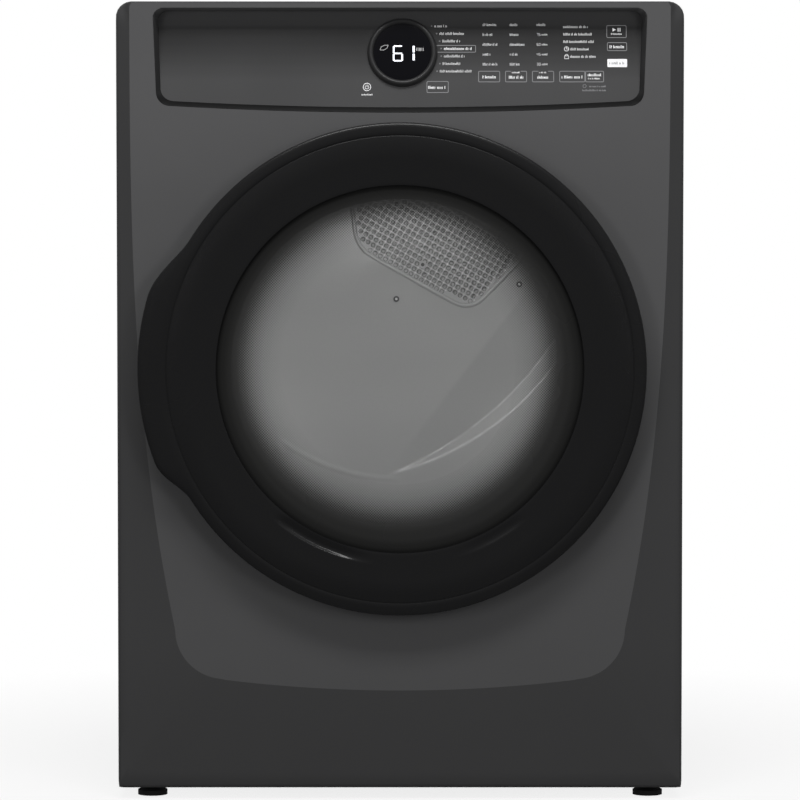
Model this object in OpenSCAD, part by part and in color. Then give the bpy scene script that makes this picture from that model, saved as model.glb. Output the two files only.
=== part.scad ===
// Front-loading clothes dryer with a round glass door and a recessed, tilted console.
// The door is at the front (-Y), the vent outlet is at the rear (+Y), the feet stand on z = 0.

/* [Cabinet] */
// Width across the side panels
body_w = 686; // [676:1:700]
// Height from the floor to the top
body_h = 966; // [956:1:976]
// Depth from the face of the front panel to the rear panel
cab_d = 725; // [715:1:745]
// Thickness of the sheet metal
sheet = 1; // [0.8:0.1:1.5]
// Radius of the rolled upper corners
corner_r = 18; // [12:1:24]
// How far the raised face stands forward of the cabinet sides
face_rise = 32; // [28:1:36]
// Height of the lower edge of the front panel
panel_z = 12; // [10:1:16]
// Half width of the raised face at its top
face_half = 325; // [320:1:328]
// How much narrower each side of the raised face is at its lower corner
face_taper = 53; // [46:1:60]

/* [Door] */
// Outer radius of the door ring
door_r = 295.5; // [294:0.5:300]
// Height of the door centre
door_z = 524.5; // [520:0.5:530]
// How far the door stands out from the front panel
door_proud = 43; // [41:1:46]
// How far the handle swells out past the ring
handle_out = 19; // [14:1:22]
// Radius of the window pane
window_r = 220; // [218:1:228]
// Radius of the clear part of the window, set by the bowl behind it
clear_r = 182; // [176:1:188]
// Depth of the bowl, from the door back to its rear face
bowl_d = 65; // [55:1:67]

/* [Console] */
// Height of the top edge of the console
console_top = 958; // [952:1:960]
// Height of the lower corners of the console
console_low = 840; // [836:1:850]
// Half width of the console
console_half = 297; // [290:1:300]
// Backward tilt of the console face, in degrees
console_tilt = 12; // [8:1:13]
// Radius of the display lens
display_r = 35; // [32:1:38]
// Height of the display centre
display_z = 905; // [900:1:908]

/* [Drum and air] */
// Outer radius of the drum
drum_r = 322; // [316:1:324]
// Height of the drum axis
drum_z = 530; // [526:1:534]
// Radius of the loading opening
mouth_r = 215; // [210:1:220]
// Outer radius of the vent outlet
vent_r = 50.8; // [48:0.1:51]
// How far the vent outlet stands out behind the rear panel
vent_out = 32; // [26:1:40]
// Number of baffles in the drum
baffle_n = 3; // [2:1:4]
// Height of the motor shaft
motor_z = 115; // [112:1:120]
// Width of the lint filter
filter_w = 280; // [240:2:284]

/* [Feet] */
// Radius of a foot pad
foot_r = 18; // [15:0.5:20]
// Distance of a foot from the middle plane
foot_x = 303; // [290:1:305]

/* [Hidden] */

// Planes along the depth
overall_d = door_proud + cab_d + vent_out;
y_door = -overall_d / 2;
y_face = y_door + door_proud;
y_side = y_face + face_rise;
y_back = y_face + cab_d;
door_gap = 4;
y_door_back = y_face - door_gap;
y_plate = y_face + 85;
y_drum = y_plate + 4;
y_rear_plate = y_back - 48;
drum_d = y_rear_plate - 3 - y_drum;
half_w = body_w / 2;
face_low = 134;
face_corner_r = 60;
clearance = 0.4;
running = 0.05;

// Extrudes a flat outline drawn in X and Z from y0 to y1.
module slab(y0, y1) {
    translate([0, y1, 0]) rotate([90, 0, 0]) linear_extrude(y1 - y0) children();
}

// Turns a profile drawn as [radius, y] about a line along Y through (x, z).
module turn_y(x, z) {
    translate([x, 0, z]) rotate([-90, 0, 0]) rotate_extrude() children();
}

// A round bar along Y from y0 to y1.
module bar_y(x, z, r, y0, y1) {
    translate([x, y0, z]) rotate([-90, 0, 0]) cylinder(r = r, h = y1 - y0);
}

// A box given by its lowest and highest corners.
module block(low, high) {
    translate(low) cube(high - low);
}

// The right half of an outline joined to its mirror image.
function mirrored(half) =
    concat(half, [for (i = [len(half) - 1:-1:0]) [-half[i][0], half[i][1]]]);

// Points of an arc from angle a0 to a1.
function arc_points(x, z, r, a0, a1, steps) =
    [for (i = [0:steps]) let (a = a0 + (a1 - a0) * i / steps) [x + r * cos(a), z + r * sin(a)]];

// Points of a shallow bow from half width x0 at height z0 down to low at the middle.
function bow_points(x0, z0, low, steps) =
    let (drop = z0 - low, r = (x0 * x0 + drop * drop) / (2 * drop))
    [for (i = [0:steps]) let (x = x0 * (1 - i / steps)) [x, low + r - sqrt(r * r - x * x)]];

// Half width of the raised face at height z: it narrows ever faster towards the bottom.
face_corner_z = face_low + 14 + face_corner_r;
function face_half_at(z) =
    face_half - face_taper * pow((body_h - z) / (body_h - face_corner_z), 3);
face_corner_x = face_half_at(face_corner_z) - face_corner_r;
face_sides = 14;
face_points = mirrored(concat(
    [for (i = [0:face_sides]) let (z = body_h + (face_corner_z - body_h) * i / face_sides)
        [face_half_at(z), z]],
    arc_points(face_corner_x, face_corner_z, face_corner_r, -10, -90, 8),
    bow_points(face_corner_x - 8, face_corner_z - face_corner_r - 1, face_low, 6)));

// The console: straight sides, round corners and a bottom edge that sags at the middle.
console_in = 3.6;
console_top_r = 12;
console_low_r = 17;
console_sag = 8;
console_points = mirrored(concat(
    arc_points(console_half - console_top_r, console_top - console_top_r, console_top_r, 90, 0, 6),
    arc_points(console_half - console_in - console_low_r, console_low + console_low_r,
        console_low_r, 0, -84, 6),
    bow_points(console_half - console_in - 2 * console_low_r, console_low - 0.4,
        console_low - console_sag, 6)));

// Frame of the console face: X across, Z up the slope, -Y out of the face, origin at z = console_low.
console_y = y_face + 6;
module on_console(z) {
    translate([0, console_y, console_low]) rotate([-console_tilt, 0, 0])
        translate([0, 0, (z - console_low) / cos(console_tilt)]) children();
}

// Everything behind the console face moved back by depth.
module behind_console(depth) {
    on_console(console_low) translate([-400, depth, -200]) cube([800, 300, 600]);
}

module cabinet_outline(inset) {
    hull() {
        for (s = [-1, 1]) {
            translate([s * (half_w - corner_r), body_h - corner_r])
                circle(r = corner_r - inset, $fn = 48);
            translate([s * (half_w - 8), panel_z + 8]) circle(r = 8 - inset, $fn = 24);
        }
    }
}

panel_hole_r = 258;
// Depth of the band around the raised face
band_rise = 20;
y_band = y_side - band_rise;
module front_panel() {
    color([0.33, 0.33, 0.34]) difference() {
        union() {
            slab(y_band, y_side) cabinet_outline(0);
            slab(y_face, y_band) intersection() {
                polygon(face_points);
                cabinet_outline(0);
            }
        }
        slab(y_band + sheet, y_side + 1) cabinet_outline(sheet);
        slab(y_face + sheet, y_side) offset(delta = -sheet) intersection() {
            polygon(face_points);
            cabinet_outline(0);
        }
        bar_y(0, door_z, panel_hole_r, y_face - 1, y_side);
        slab(y_face - 1, y_side + 1) polygon(console_points);
    }
}

// A side panel with folded front, rear and bottom flanges; side is -1 on the left, 1 on the right.
fold = 15;
side_low = panel_z + 4;
side_top = body_h - corner_r;
module side_panel(side) {
    inner = half_w - sheet;
    color([0.36, 0.36, 0.37]) mirror([side < 0 ? 1 : 0, 0, 0]) {
        block([inner, y_side, side_low], [half_w, y_back, side_top]);
        block([inner - fold, y_side, side_low], [inner, y_side + sheet, side_top]);
        block([inner - fold, y_back - 2 * sheet, side_low], [inner, y_back - sheet, side_top]);
        block([inner - fold, y_side, side_low], [inner, y_back - sheet, side_low + sheet]);
    }
}
module side_panel_left() { side_panel(-1); }
module side_panel_right() { side_panel(1); }

module top_panel() {
    color([0.36, 0.36, 0.37]) difference() {
        slab(y_side, y_back) cabinet_outline(0);
        slab(y_side - 1, y_back - sheet) cabinet_outline(sheet);
        block([-half_w - 1, y_side - 1, 0], [half_w + 1, y_back + 1, side_top]);
    }
}

vent_z = 74;
cover_x = 150;
cover_z = 150;
valve_x = -262;
valve_z = 150;
module rear_panel() {
    color([0.55, 0.55, 0.56]) difference() {
        block([-half_w + sheet, y_back - sheet, side_low + sheet], [half_w - sheet, y_back, side_top]);
        bar_y(0, vent_z, vent_r + vent_step + clearance, y_back - 5, y_back + 5);
        bar_y(valve_x, valve_z, 18, y_back - 5, y_back + 5);
        block([cover_x - 30, y_back - 5, cover_z - 20], [cover_x + 30, y_back + 5, cover_z + 20]);
        for (x = [-240:40:240], z = [760:24:856])
            block([x - 14, y_back - 5, z], [x + 14, y_back + 5, z + 5]);
    }
}

pan_z = side_low + sheet;
module base_pan() {
    inner = half_w - sheet;
    color([0.5, 0.5, 0.51]) difference() {
        block([-inner, y_side + sheet, pan_z], [inner, y_back - 2 * sheet, pan_z + 26]);
        block([-inner + sheet, y_side + 2 * sheet, pan_z + sheet],
            [inner - sheet, y_back - 3 * sheet, pan_z + 30]);
        for (x = [-foot_x, foot_x], y = foot_ys)
            translate([x, y, 0]) cylinder(r = stem_r + running, h = 60);
        bar_y(0, vent_z, vent_r + vent_step + clearance, y_back - 5, y_back);
    }
    // Threaded bosses that the feet screw into
    color([0.5, 0.5, 0.51]) for (x = [-foot_x, foot_x], y = foot_ys)
        translate([x, y, pan_z + sheet]) difference() {
            cylinder(r = 11, h = 14);
            translate([0, 0, -1]) cylinder(r = stem_r + running, h = 20);
        }
}

// A levelling foot: pad, nut and threaded stem.
stem_r = 5;
pad_h = 9;
foot_ys = [y_side + 24, y_back - 42];
module foot(x, y) {
    color([0.08, 0.08, 0.08]) translate([x, y, 0]) {
        cylinder(r = foot_r, h = pad_h - 3);
        translate([0, 0, pad_h - 3]) cylinder(r1 = foot_r, r2 = foot_r - 6, h = 3);
        cylinder(r = stem_r, h = 44);
        translate([0, 0, pad_h]) cylinder(r = 9, h = 5, $fn = 6);
    }
}
module foot_front_left() { foot(-foot_x, foot_ys[0]); }
module foot_front_right() { foot(foot_x, foot_ys[0]); }
module foot_rear_left() { foot(-foot_x, foot_ys[1]); }
module foot_rear_right() { foot(foot_x, foot_ys[1]); }

console_deep = 46;
fascia_t = 2;
wall = 3;
module console_housing() {
    color([0.1, 0.1, 0.1]) difference() {
        slab(y_face, y_face + console_deep) polygon(console_points);
        difference() {
            slab(y_face - 1, y_face + console_deep + 1) offset(delta = -wall) polygon(console_points);
            difference() {
                behind_console(fascia_t);
                behind_console(fascia_t + wall);
            }
        }
    }
    // Posts that carry the main board
    color([0.1, 0.1, 0.1]) on_console(console_low) for (x = [-115, 115], z = [26, 84])
        bar_y(x, z, 4, fascia_t + wall, board_y);
    // Posts that carry the display board
    color([0.1, 0.1, 0.1]) on_console(display_z) for (x = [-24, 24])
        bar_y(x, 0, 3, fascia_t + wall, display_board_y);
}

module console_fascia() {
    color([0.25, 0.25, 0.26]) intersection() {
        slab(y_face - 1, y_face + console_deep) offset(delta = -wall) polygon(console_points);
        difference() {
            behind_console(0);
            behind_console(fascia_t);
        }
    }
}

display_x = 2;
ring_out = 7;
module display_ring() {
    color([0.3, 0.3, 0.31]) on_console(display_z) turn_y(display_x, 0)
        polygon([[display_r, 0], [display_r + ring_out, 0], [display_r + ring_out - 1, -6],
            [display_r + ring_out - 3, -7.5], [display_r + 2, -7.5], [display_r, -5]]);
}
module display_lens() {
    color([0.03, 0.03, 0.03]) on_console(display_z) bar_y(display_x, 0, display_r, -4.5, 0);
}

// Main board and display board with their larger components
board_y = 16;
display_board_y = 8;
board_t = 1.6;
module control_boards() {
    color([0.1, 0.35, 0.2]) {
        on_console(console_low) {
            block([-130, board_y, 18], [130, board_y + board_t, 98]);
            block([60, board_y + board_t, 30], [100, board_y + 12, 66]);
            for (x = [-100:26:10]) block([x, board_y + board_t, 60], [x + 18, board_y + 13, 84]);
        }
        on_console(display_z) bar_y(display_x, 0, display_r - 3, display_board_y, display_board_y + board_t);
    }
}

plate_t = 1.2;
throat_y = y_face + sheet;
throat_in = 240;
throat_out = panel_hole_r + 4;
slot_y = [y_plate - 21, y_plate - 4];
module front_bulkhead() {
    color([0.75, 0.76, 0.77]) difference() {
        union() {
            turn_y(0, door_z) polygon([[throat_in, throat_y], [throat_out, throat_y],
                [throat_out, throat_y + 2], [throat_in + 3, throat_y + 2],
                [mouth_r + 3, y_plate - 28], [mouth_r + 3, y_plate], [mouth_r, y_plate],
                [mouth_r, y_plate - 28], [throat_in, throat_y + 2]]);
            slab(y_plate - plate_t, y_plate) bulkhead_outline();
            turn_y(0, drum_z) translate([glide_r - 3, y_plate]) square([3, 14]);
        }
        bar_y(0, door_z, mouth_r, y_plate - 3, y_plate + 1);
        block([-filter_w / 2 - 2, slot_y[0], 100], [filter_w / 2 + 2, slot_y[1], door_z - 60]);
        block([strike_x - 6, throat_y - 1, door_z - 17], [strike_x + 6, throat_y + 3, door_z + 17]);
        at_angle(switch_a) bar_y(switch_x, 0, 3.6, throat_y - 1, throat_y + 3);
        at_angle(light_a) translate([mouth_r - 5, light_y, 0]) rotate([0, 90, 0]) cylinder(r = 9, h = 12);
        at_angle(spray_a) translate([mouth_r - 5, spray_y, 0]) rotate([0, 90, 0]) cylinder(r = 6, h = 12);
    }
}

// Both bulkheads span the cabinet between the side panels.
module bulkhead_outline() {
    difference() {
        translate([-half_w + sheet, drum_z - 336]) square([2 * (half_w - sheet), 686]);
        translate([0, door_z]) circle(r = mouth_r);
    }
}

// Turns local X to the angle a around the door centre.
module at_angle(a) {
    translate([0, 0, door_z]) rotate([0, -a, 0]) children();
}

glide_r = 291;
lip_r = 297;
module drum_glides() {
    color([0.95, 0.94, 0.9]) for (a = [62, 118]) translate([0, 0, drum_z]) rotate([0, -a, 0])
        intersection() {
            turn_y(0, 0) translate([glide_r, y_plate]) square([lip_r - clearance - glide_r, 12]);
            block([200, y_plate - 1, -35], [350, y_plate + 20, 35]);
        }
}

module drum_seals() {
    color([0.55, 0.53, 0.5]) {
        turn_y(0, drum_z) translate([drum_r - 18, y_plate]) square([14, y_drum - clearance - y_plate]);
        turn_y(0, drum_z) translate([drum_r - 18, y_drum + drum_d + clearance])
            square([17, y_rear_plate - y_drum - drum_d - clearance]);
    }
}

drum_t = 1.5;
module drum_shell() {
    color([0.72, 0.73, 0.74]) turn_y(0, drum_z) polygon([[lip_r, y_drum], [drum_r, y_drum],
        [drum_r, y_drum + drum_d], [drum_r - 18, y_drum + drum_d],
        [drum_r - 18, y_drum + drum_d - drum_t], [drum_r - drum_t, y_drum + drum_d - drum_t],
        [drum_r - drum_t, y_drum + drum_t], [lip_r, y_drum + drum_t]]);
}

// The baffles stand on the inside of the drum wall.
baffle_h = 62;
baffle_a = 38;
baffle_y = [y_drum + 45, y_drum + drum_d - 70];
module drum_baffles() {
    foot_in = drum_r - drum_t;
    color([0.8, 0.81, 0.82]) for (i = [0:baffle_n - 1])
        translate([0, 0, drum_z]) rotate([0, baffle_a + i * 360 / baffle_n, 0])
            difference() {
                slab(baffle_y[0], baffle_y[1]) baffle_outline(0, foot_in);
                slab(baffle_y[0] + wall, baffle_y[1] - wall) baffle_outline(wall, foot_in + 2);
            }
}
module baffle_outline(inset, rim) {
    intersection() {
        offset(delta = -inset) polygon([[-48, -drum_r - 8], [48, -drum_r - 8], [30, -drum_r + 24],
            [14, -drum_r + baffle_h], [-14, -drum_r + baffle_h], [-30, -drum_r + 24]]);
        circle(r = rim);
    }
}

roller_r = 38;
roller_w = 24;
axle_r = 6;
roller_a = 35;
roller_reach = drum_r + roller_r + clearance;
roller_x = roller_reach * sin(roller_a);
roller_z = drum_z - roller_reach * cos(roller_a);
roller_y = y_rear_plate - 36;
module roller(x) {
    color([0.2, 0.2, 0.2]) difference() {
        bar_y(x, roller_z, roller_r, roller_y, roller_y + roller_w);
        bar_y(x, roller_z, axle_r + running, roller_y - 1, roller_y + roller_w + 1);
        turn_y(x, roller_z) translate([16, roller_y - 1]) square([12, 7]);
        turn_y(x, roller_z) translate([16, roller_y + roller_w - 6]) square([12, 7]);
    }
}
module roller_left() { roller(-roller_x); }
module roller_right() { roller(roller_x); }
module roller_shafts() {
    color([0.6, 0.6, 0.62]) for (x = [-roller_x, roller_x]) {
        bar_y(x, roller_z, axle_r, roller_y - 6, y_rear_plate);
        bar_y(x, roller_z, 11, roller_y - 4, roller_y - 1);
        bar_y(x, roller_z, 13, y_rear_plate - 6, y_rear_plate);
    }
}

// The perforated plate covers the air inlet window in the upper right of the rear bulkhead.
inlet_x = 75;
inlet_z = drum_z + 138;
// Corners of the plate: across, up and corner radius
inlet_corners = [[15, -54, 36], [90, 22, 35], [35, 67, 40], [-110, 67, 35], [-91, 19, 48]];
module inlet_outline(inset) {
    hull() for (c = inlet_corners) translate([c[0], c[1]]) circle(r = c[2] - inset, $fn = 32);
}
module rear_bulkhead() {
    color([0.72, 0.73, 0.74]) slab(y_rear_plate, y_rear_plate + plate_t) difference() {
        translate([-half_w + sheet, drum_z - 336]) square([2 * (half_w - sheet), 686]);
        translate([inlet_x, inlet_z]) inlet_outline(10);
    }
}
grille_hole_r = 4;
grille_pitch = 13;
module air_inlet_grille() {
    color([0.78, 0.79, 0.8]) slab(y_rear_plate - 2, y_rear_plate) translate([inlet_x, inlet_z]) difference() {
        inlet_outline(0);
        for (row = [-8:8], i = [-10:10]) {
            x = grille_pitch * (i + abs(row % 2) / 2);
            z = grille_pitch * sin(60) * row + 8;
            inside = x > -127 && x < 117 && z < 88 && z < 143 - x * 0.94;
            if (inside && z > -80 && z > -77 - x * 0.585 && z > -109 + x * 1.013)
                translate([x, z]) circle(r = grille_hole_r, $fn = 8);
        }
    }
}

// Heater: a box behind the rear bulkhead that leads air past the coils and up to the inlet plate.
heater_x = [inlet_x - 155, inlet_x + 155];
heater_z = [drum_z - 330, inlet_z + 115];
heater_y = [y_rear_plate + plate_t, y_back - 6];
module heater_housing() {
    color([0.6, 0.6, 0.61]) difference() {
        block([heater_x[0], heater_y[0], heater_z[0]], [heater_x[1], heater_y[1], heater_z[1]]);
        block([heater_x[0] + 1.5, heater_y[0] - 1, heater_z[0] - 1],
            [heater_x[1] - 1.5, heater_y[1] - 1.5, heater_z[1] - 1.5]);
    }
}
coil_r = 11;
module heater_coils() {
    color([0.5, 0.3, 0.25]) {
        for (z = [250:35:425]) {
            coil_y = (heater_y[0] + heater_y[1]) / 2;
            for (s = [-1, 1]) translate([heater_x[0] + 1.5, coil_y, z + s * (coil_r - 1)])
                rotate([0, 90, 0]) cylinder(r = 1.5, h = heater_x[1] - heater_x[0] - 3);
            for (x = [heater_x[0] + 20:13:heater_x[1] - 20])
                translate([x, coil_y, z]) rotate([0, 90, 0]) difference() {
                    cylinder(r = coil_r, h = 2.5);
                    translate([0, 0, -1]) cylinder(r = coil_r - 2.5, h = 5);
                }
            for (x = [heater_x[0] + 10, heater_x[1] - 14])
                translate([x, coil_y, z]) rotate([0, 90, 0]) cylinder(r = coil_r + 3, h = 4);
        }
    }
}
module thermostats() {
    color([0.15, 0.15, 0.16]) for (z = [470, 540]) {
        bar_y(heater_x[0] - 12, z, 11, y_rear_plate + plate_t, y_rear_plate + 12);
        bar_y(heater_x[0] - 12, z, 7, y_rear_plate + 12, y_rear_plate + 20);
        block([heater_x[0] - 32, y_rear_plate + plate_t, z - 4],
            [heater_x[0] - 1, y_rear_plate + plate_t + 2, z + 4]);
    }
}

// Motor, with its shaft along Y
motor_x = -215;
motor_r = 60;
motor_y = [y_plate + 160, y_plate + 300];
shaft_r = 6;
belt_y = motor_y[1] + 52;
belt_w = 16;
pulley_r = 12;
module motor_body() {
    color([0.5, 0.51, 0.53]) difference() {
        union() {
            bar_y(motor_x, motor_z, motor_r, motor_y[0] + 18, motor_y[1] - 18);
            bar_y(motor_x, motor_z, motor_r - 7, motor_y[0], motor_y[1]);
            bar_y(motor_x, motor_z, 20, motor_y[0] - 10, motor_y[1] + 10);
        }
        bar_y(motor_x, motor_z, shaft_r + running, motor_y[0] - 20, motor_y[1] + 20);
        for (a = [0:30:330]) translate([motor_x, 0, motor_z]) rotate([0, a, 0])
            block([26, motor_y[0] - 1, -4], [46, motor_y[0] + 6, 4]);
    }
}
module motor_bracket() {
    low = pan_z + sheet;
    color([0.6, 0.6, 0.62]) {
        difference() {
            union() {
                block([motor_x - 70, motor_y[0] - 10, low], [motor_x + 70, belt_y + 16, low + 2.5]);
                for (y = [motor_y[0] - 8, motor_y[1] + 5])
                    block([motor_x - 46, y, low], [motor_x + 46, y + 3, motor_z]);
            }
            bar_y(motor_x, motor_z, 20, motor_y[0] - 20, motor_y[1] + 20);
        }
        block([arm_x - 12, arm_y - 6, low], [arm_x + 12, arm_y - 3, arm_z + 12]);
        bar_y(arm_x, arm_z, 4, arm_y - 6, arm_y + 6);
    }
}
module motor_shaft() {
    color([0.7, 0.7, 0.72]) {
        bar_y(motor_x, motor_z, shaft_r, blower_y[0] + 8, belt_y + 14);
        bar_y(motor_x, motor_z, pulley_r, belt_y - 10, belt_y + 10);
        bar_y(motor_x, motor_z, pulley_r + 3, belt_y - 12, belt_y - 10);
        bar_y(motor_x, motor_z, pulley_r + 3, belt_y + 10, belt_y + 12);
    }
}

// The belt wraps the drum and the motor pulley.
belt_t = 2;
module belt_loop(grow) {
    hull() {
        translate([0, drum_z]) circle(r = drum_r + grow, $fn = 180);
        translate([motor_x, motor_z]) circle(r = pulley_r + grow, $fn = 48);
    }
}
module drive_belt() {
    color([0.12, 0.12, 0.12]) slab(belt_y - belt_w / 2, belt_y + belt_w / 2) difference() {
        belt_loop(clearance + belt_t);
        belt_loop(clearance);
    }
}

// The idler presses on the lower run of the belt. The run leaves the motor pulley at run_a.
run_len = norm([motor_x, drum_z - motor_z]);
run_a = atan2(drum_z - motor_z, -motor_x) - asin((drum_r - pulley_r) / run_len);
idler_r = 20;
idler_along = 92;
idler_off = pulley_r + 2 * clearance + belt_t + idler_r;
idler_x = motor_x + idler_along * cos(run_a) + idler_off * sin(run_a);
idler_z = motor_z + idler_along * sin(run_a) - idler_off * cos(run_a);
arm_x = motor_x + 52;
arm_z = 56;
arm_y = belt_y - belt_w / 2 - 12;
module idler_arm() {
    color([0.55, 0.55, 0.57]) difference() {
        union() {
            bar_y(arm_x, arm_z, 9, arm_y - 2, arm_y + 2);
            translate([arm_x, 0, arm_z])
                rotate([0, -atan2(idler_z - arm_z, idler_x - arm_x), 0])
                block([6, arm_y - 1.5, -4], [norm([idler_x - arm_x, idler_z - arm_z]) - 5, arm_y + 1.5, 4]);
            bar_y(idler_x, idler_z, 7, arm_y - 2, belt_y - belt_w / 2 - 2);
            bar_y(idler_x, idler_z, 4, belt_y - belt_w / 2 - 2, belt_y + belt_w / 2 + 3);
        }
        bar_y(arm_x, arm_z, 4 + running, arm_y - 5, arm_y + 5);
    }
}
module idler_pulley() {
    color([0.85, 0.85, 0.83]) difference() {
        bar_y(idler_x, idler_z, idler_r, belt_y - belt_w / 2 - 1, belt_y + belt_w / 2 + 1);
        bar_y(idler_x, idler_z, 4 + running, belt_y - 20, belt_y + 20);
        turn_y(idler_x, idler_z) translate([9, belt_y - belt_w / 2 - 2]) square([7, 6]);
        turn_y(idler_x, idler_z) translate([9, belt_y + belt_w / 2 - 4]) square([7, 6]);
    }
}

// Torsion spring around the arm's pivot, with one leg on the bracket
module idler_spring() {
    color([0.65, 0.65, 0.68]) {
        for (i = [0:1]) turn_y(arm_x, arm_z) translate([8, arm_y + 3.6 + i * 1.6]) circle(r = 1, $fn = 24);
        block([arm_x - 9, arm_y + 3, pan_z + sheet + 2.5], [arm_x - 7, arm_y + 5, arm_z]);
    }
}

blower_y = [y_plate + 32, y_plate + 106];
scroll_r = motor_z - pan_z - sheet;
wheel_r = 78;
eye_r = 55;
box_x = motor_x + 140;
box_z = [motor_z - scroll_r, motor_z - 16];
module scroll_outline(inset) {
    union() {
        translate([motor_x, motor_z]) circle(r = scroll_r - inset);
        translate([motor_x, box_z[0] + inset])
            square([140 + (inset > 0 ? 1 : 0), box_z[1] - box_z[0] - 2 * inset]);
    }
}
module blower_housing() {
    color([0.3, 0.3, 0.31]) difference() {
        slab(blower_y[0], blower_y[1]) scroll_outline(0);
        slab(blower_y[0] + 2, blower_y[1] - 2) scroll_outline(2);
        bar_y(motor_x, motor_z, eye_r, blower_y[0] - 1, blower_y[0] + 3);
        bar_y(motor_x, motor_z, shaft_r + 2, blower_y[1] - 3, blower_y[1] + 1);
    }
}
blade_n = 28;
module blower_wheel() {
    color([0.85, 0.85, 0.85]) difference() {
        union() {
            bar_y(motor_x, motor_z, wheel_r, blower_y[1] - 14, blower_y[1] - 11);
            bar_y(motor_x, motor_z, 16, blower_y[0] + 12, blower_y[1] - 11);
            turn_y(motor_x, motor_z) translate([wheel_r - 12, blower_y[0] + 8]) square([12, 3]);
            for (i = [0:blade_n - 1]) translate([motor_x, 0, motor_z]) rotate([0, i * 360 / blade_n, 0])
                translate([wheel_r - 7, 0, 0]) rotate([0, 35, 0])
                    block([-6, blower_y[0] + 8, -0.8], [5, blower_y[1] - 11, 0.8]);
        }
        bar_y(motor_x, motor_z, shaft_r, blower_y[0], blower_y[1]);
    }
}

// Lint duct: a pocket that holds the filter, and a chamber that leads to the eye of the blower.
filter_y = [slot_y[0] + 2, slot_y[1] - 2];
duct_y = [slot_y[0] - 2.5, slot_y[1] + 1.5];
chamber_z = [pan_z + sheet, 184];
chamber_x = motor_x - 72;
module lint_duct() {
    out = filter_w / 2 + 4.5;
    cut = filter_w / 2 + 2.5;
    color([0.3, 0.3, 0.31]) difference() {
        union() {
            block([-out, duct_y[0], chamber_z[0]], [out, duct_y[1], door_z - mouth_r + 50]);
            block([chamber_x, duct_y[0], chamber_z[0]], [-60, blower_y[0], chamber_z[1]]);
        }
        block([-cut, duct_y[0] + 2, chamber_z[0] + 2], [cut, duct_y[1] - 2, door_z]);
        block([chamber_x + 2, duct_y[0] + 2, chamber_z[0] + 2], [-62, blower_y[0] - 2, chamber_z[1] - 2]);
        bar_y(motor_x, motor_z, eye_r, blower_y[0] - 3, blower_y[0] + 1);
        bar_y(0, door_z, mouth_r + 3 + clearance, duct_y[0] - 1, duct_y[1] + 1);
    }
}

// The pipe steps down to the standard outlet where it leaves the rear panel.
vent_step = 1;
module exhaust_duct() {
    box_end = vent_r + 4;
    color([0.66, 0.67, 0.68]) difference() {
        union() {
            block([box_x, blower_y[0], box_z[0]], [box_end, blower_y[1], box_z[0] + 2 * vent_r + 8]);
            bar_y(0, vent_z, vent_r + vent_step, blower_y[1] - 1, y_back);
            bar_y(0, vent_z, vent_r, y_back, y_back + vent_out);
        }
        block([box_x + 2, blower_y[0] + 2, box_z[0] + 2],
            [box_end - 2, blower_y[1] - 2, box_z[0] + 2 * vent_r + 6]);
        block([box_x - 1, blower_y[0] + 2, box_z[0] + 2], [box_x + 3, blower_y[1] - 2, box_z[1] - 2]);
        bar_y(0, vent_z, vent_r - 1.2, blower_y[1] - 3, y_back + vent_out + 1);
    }
}

// Rear fittings: terminal cover with the cord hole below, water valve, steam tube and nozzle
cord_hole_r = 11.1;
cover_t = 2;
module terminal_cover() {
    color([0.5, 0.5, 0.51]) difference() {
        block([cover_x - 40, y_back, cover_z - 30], [cover_x + 40, y_back + 30, cover_z + 30]);
        block([cover_x - 40 + cover_t, y_back - 1, cover_z - 30 + cover_t],
            [cover_x + 40 - cover_t, y_back + 30 - cover_t, cover_z + 30 - cover_t]);
        translate([cover_x, y_back + 15, cover_z - 31]) cylinder(r = cord_hole_r, h = 4);
    }
}
hose_r = 13.2;
module water_valve() {
    color([0.85, 0.85, 0.82]) {
        block([valve_x - 22, y_back - 34, valve_z - 14], [valve_x + 22, y_back - 3, valve_z + 14]);
        bar_y(valve_x, valve_z, 16, y_back - 3, y_back + 8);
        bar_y(valve_x, valve_z, hose_r, y_back + 8, y_back + 24);
        translate([valve_x - 8, y_back - 18, valve_z + 14]) cylinder(r = 11, h = 26);
    }
}
// Route of the steam tube from the valve over the drum to the nozzle above the throat
tube_r = 4;
spray_a = 105;
spray_y = y_plate - 14;
light_a = 60;
light_y = y_plate - 15;
tube_x = -300;
tube_z = 900;
tube_route = [[valve_x - 22, y_back - 20, valve_z], [tube_x, y_back - 20, valve_z],
    [tube_x, y_back - 20, tube_z], [tube_x, spray_y, tube_z], [-54, spray_y, tube_z],
    [-54, spray_y, door_z + 244]];
module steam_tube() {
    color([0.8, 0.8, 0.78]) {
        for (i = [0:len(tube_route) - 2]) {
            step = tube_route[i + 1] - tube_route[i];
            translate(tube_route[i])
                rotate([0, step[0] == 0 && step[1] == 0 ? (step[2] < 0 ? 180 : 0) : 90, 0])
                rotate([step[1] == 0 ? 0 : 90, 0, 0])
                rotate([0, step[0] < 0 ? 180 : 0, 0])
                cylinder(r = tube_r, h = norm(step));
        }
        for (i = [1:len(tube_route) - 2]) translate(tube_route[i]) sphere(r = tube_r);
    }
}
module spray_nozzle() {
    color([0.2, 0.2, 0.2]) {
        at_angle(spray_a) translate([mouth_r - 4, spray_y, 0]) rotate([0, 90, 0]) cylinder(r = 6, h = 16);
        translate([-54, spray_y, door_z + 218]) cylinder(r = 8, h = 26);
    }
}
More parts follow.
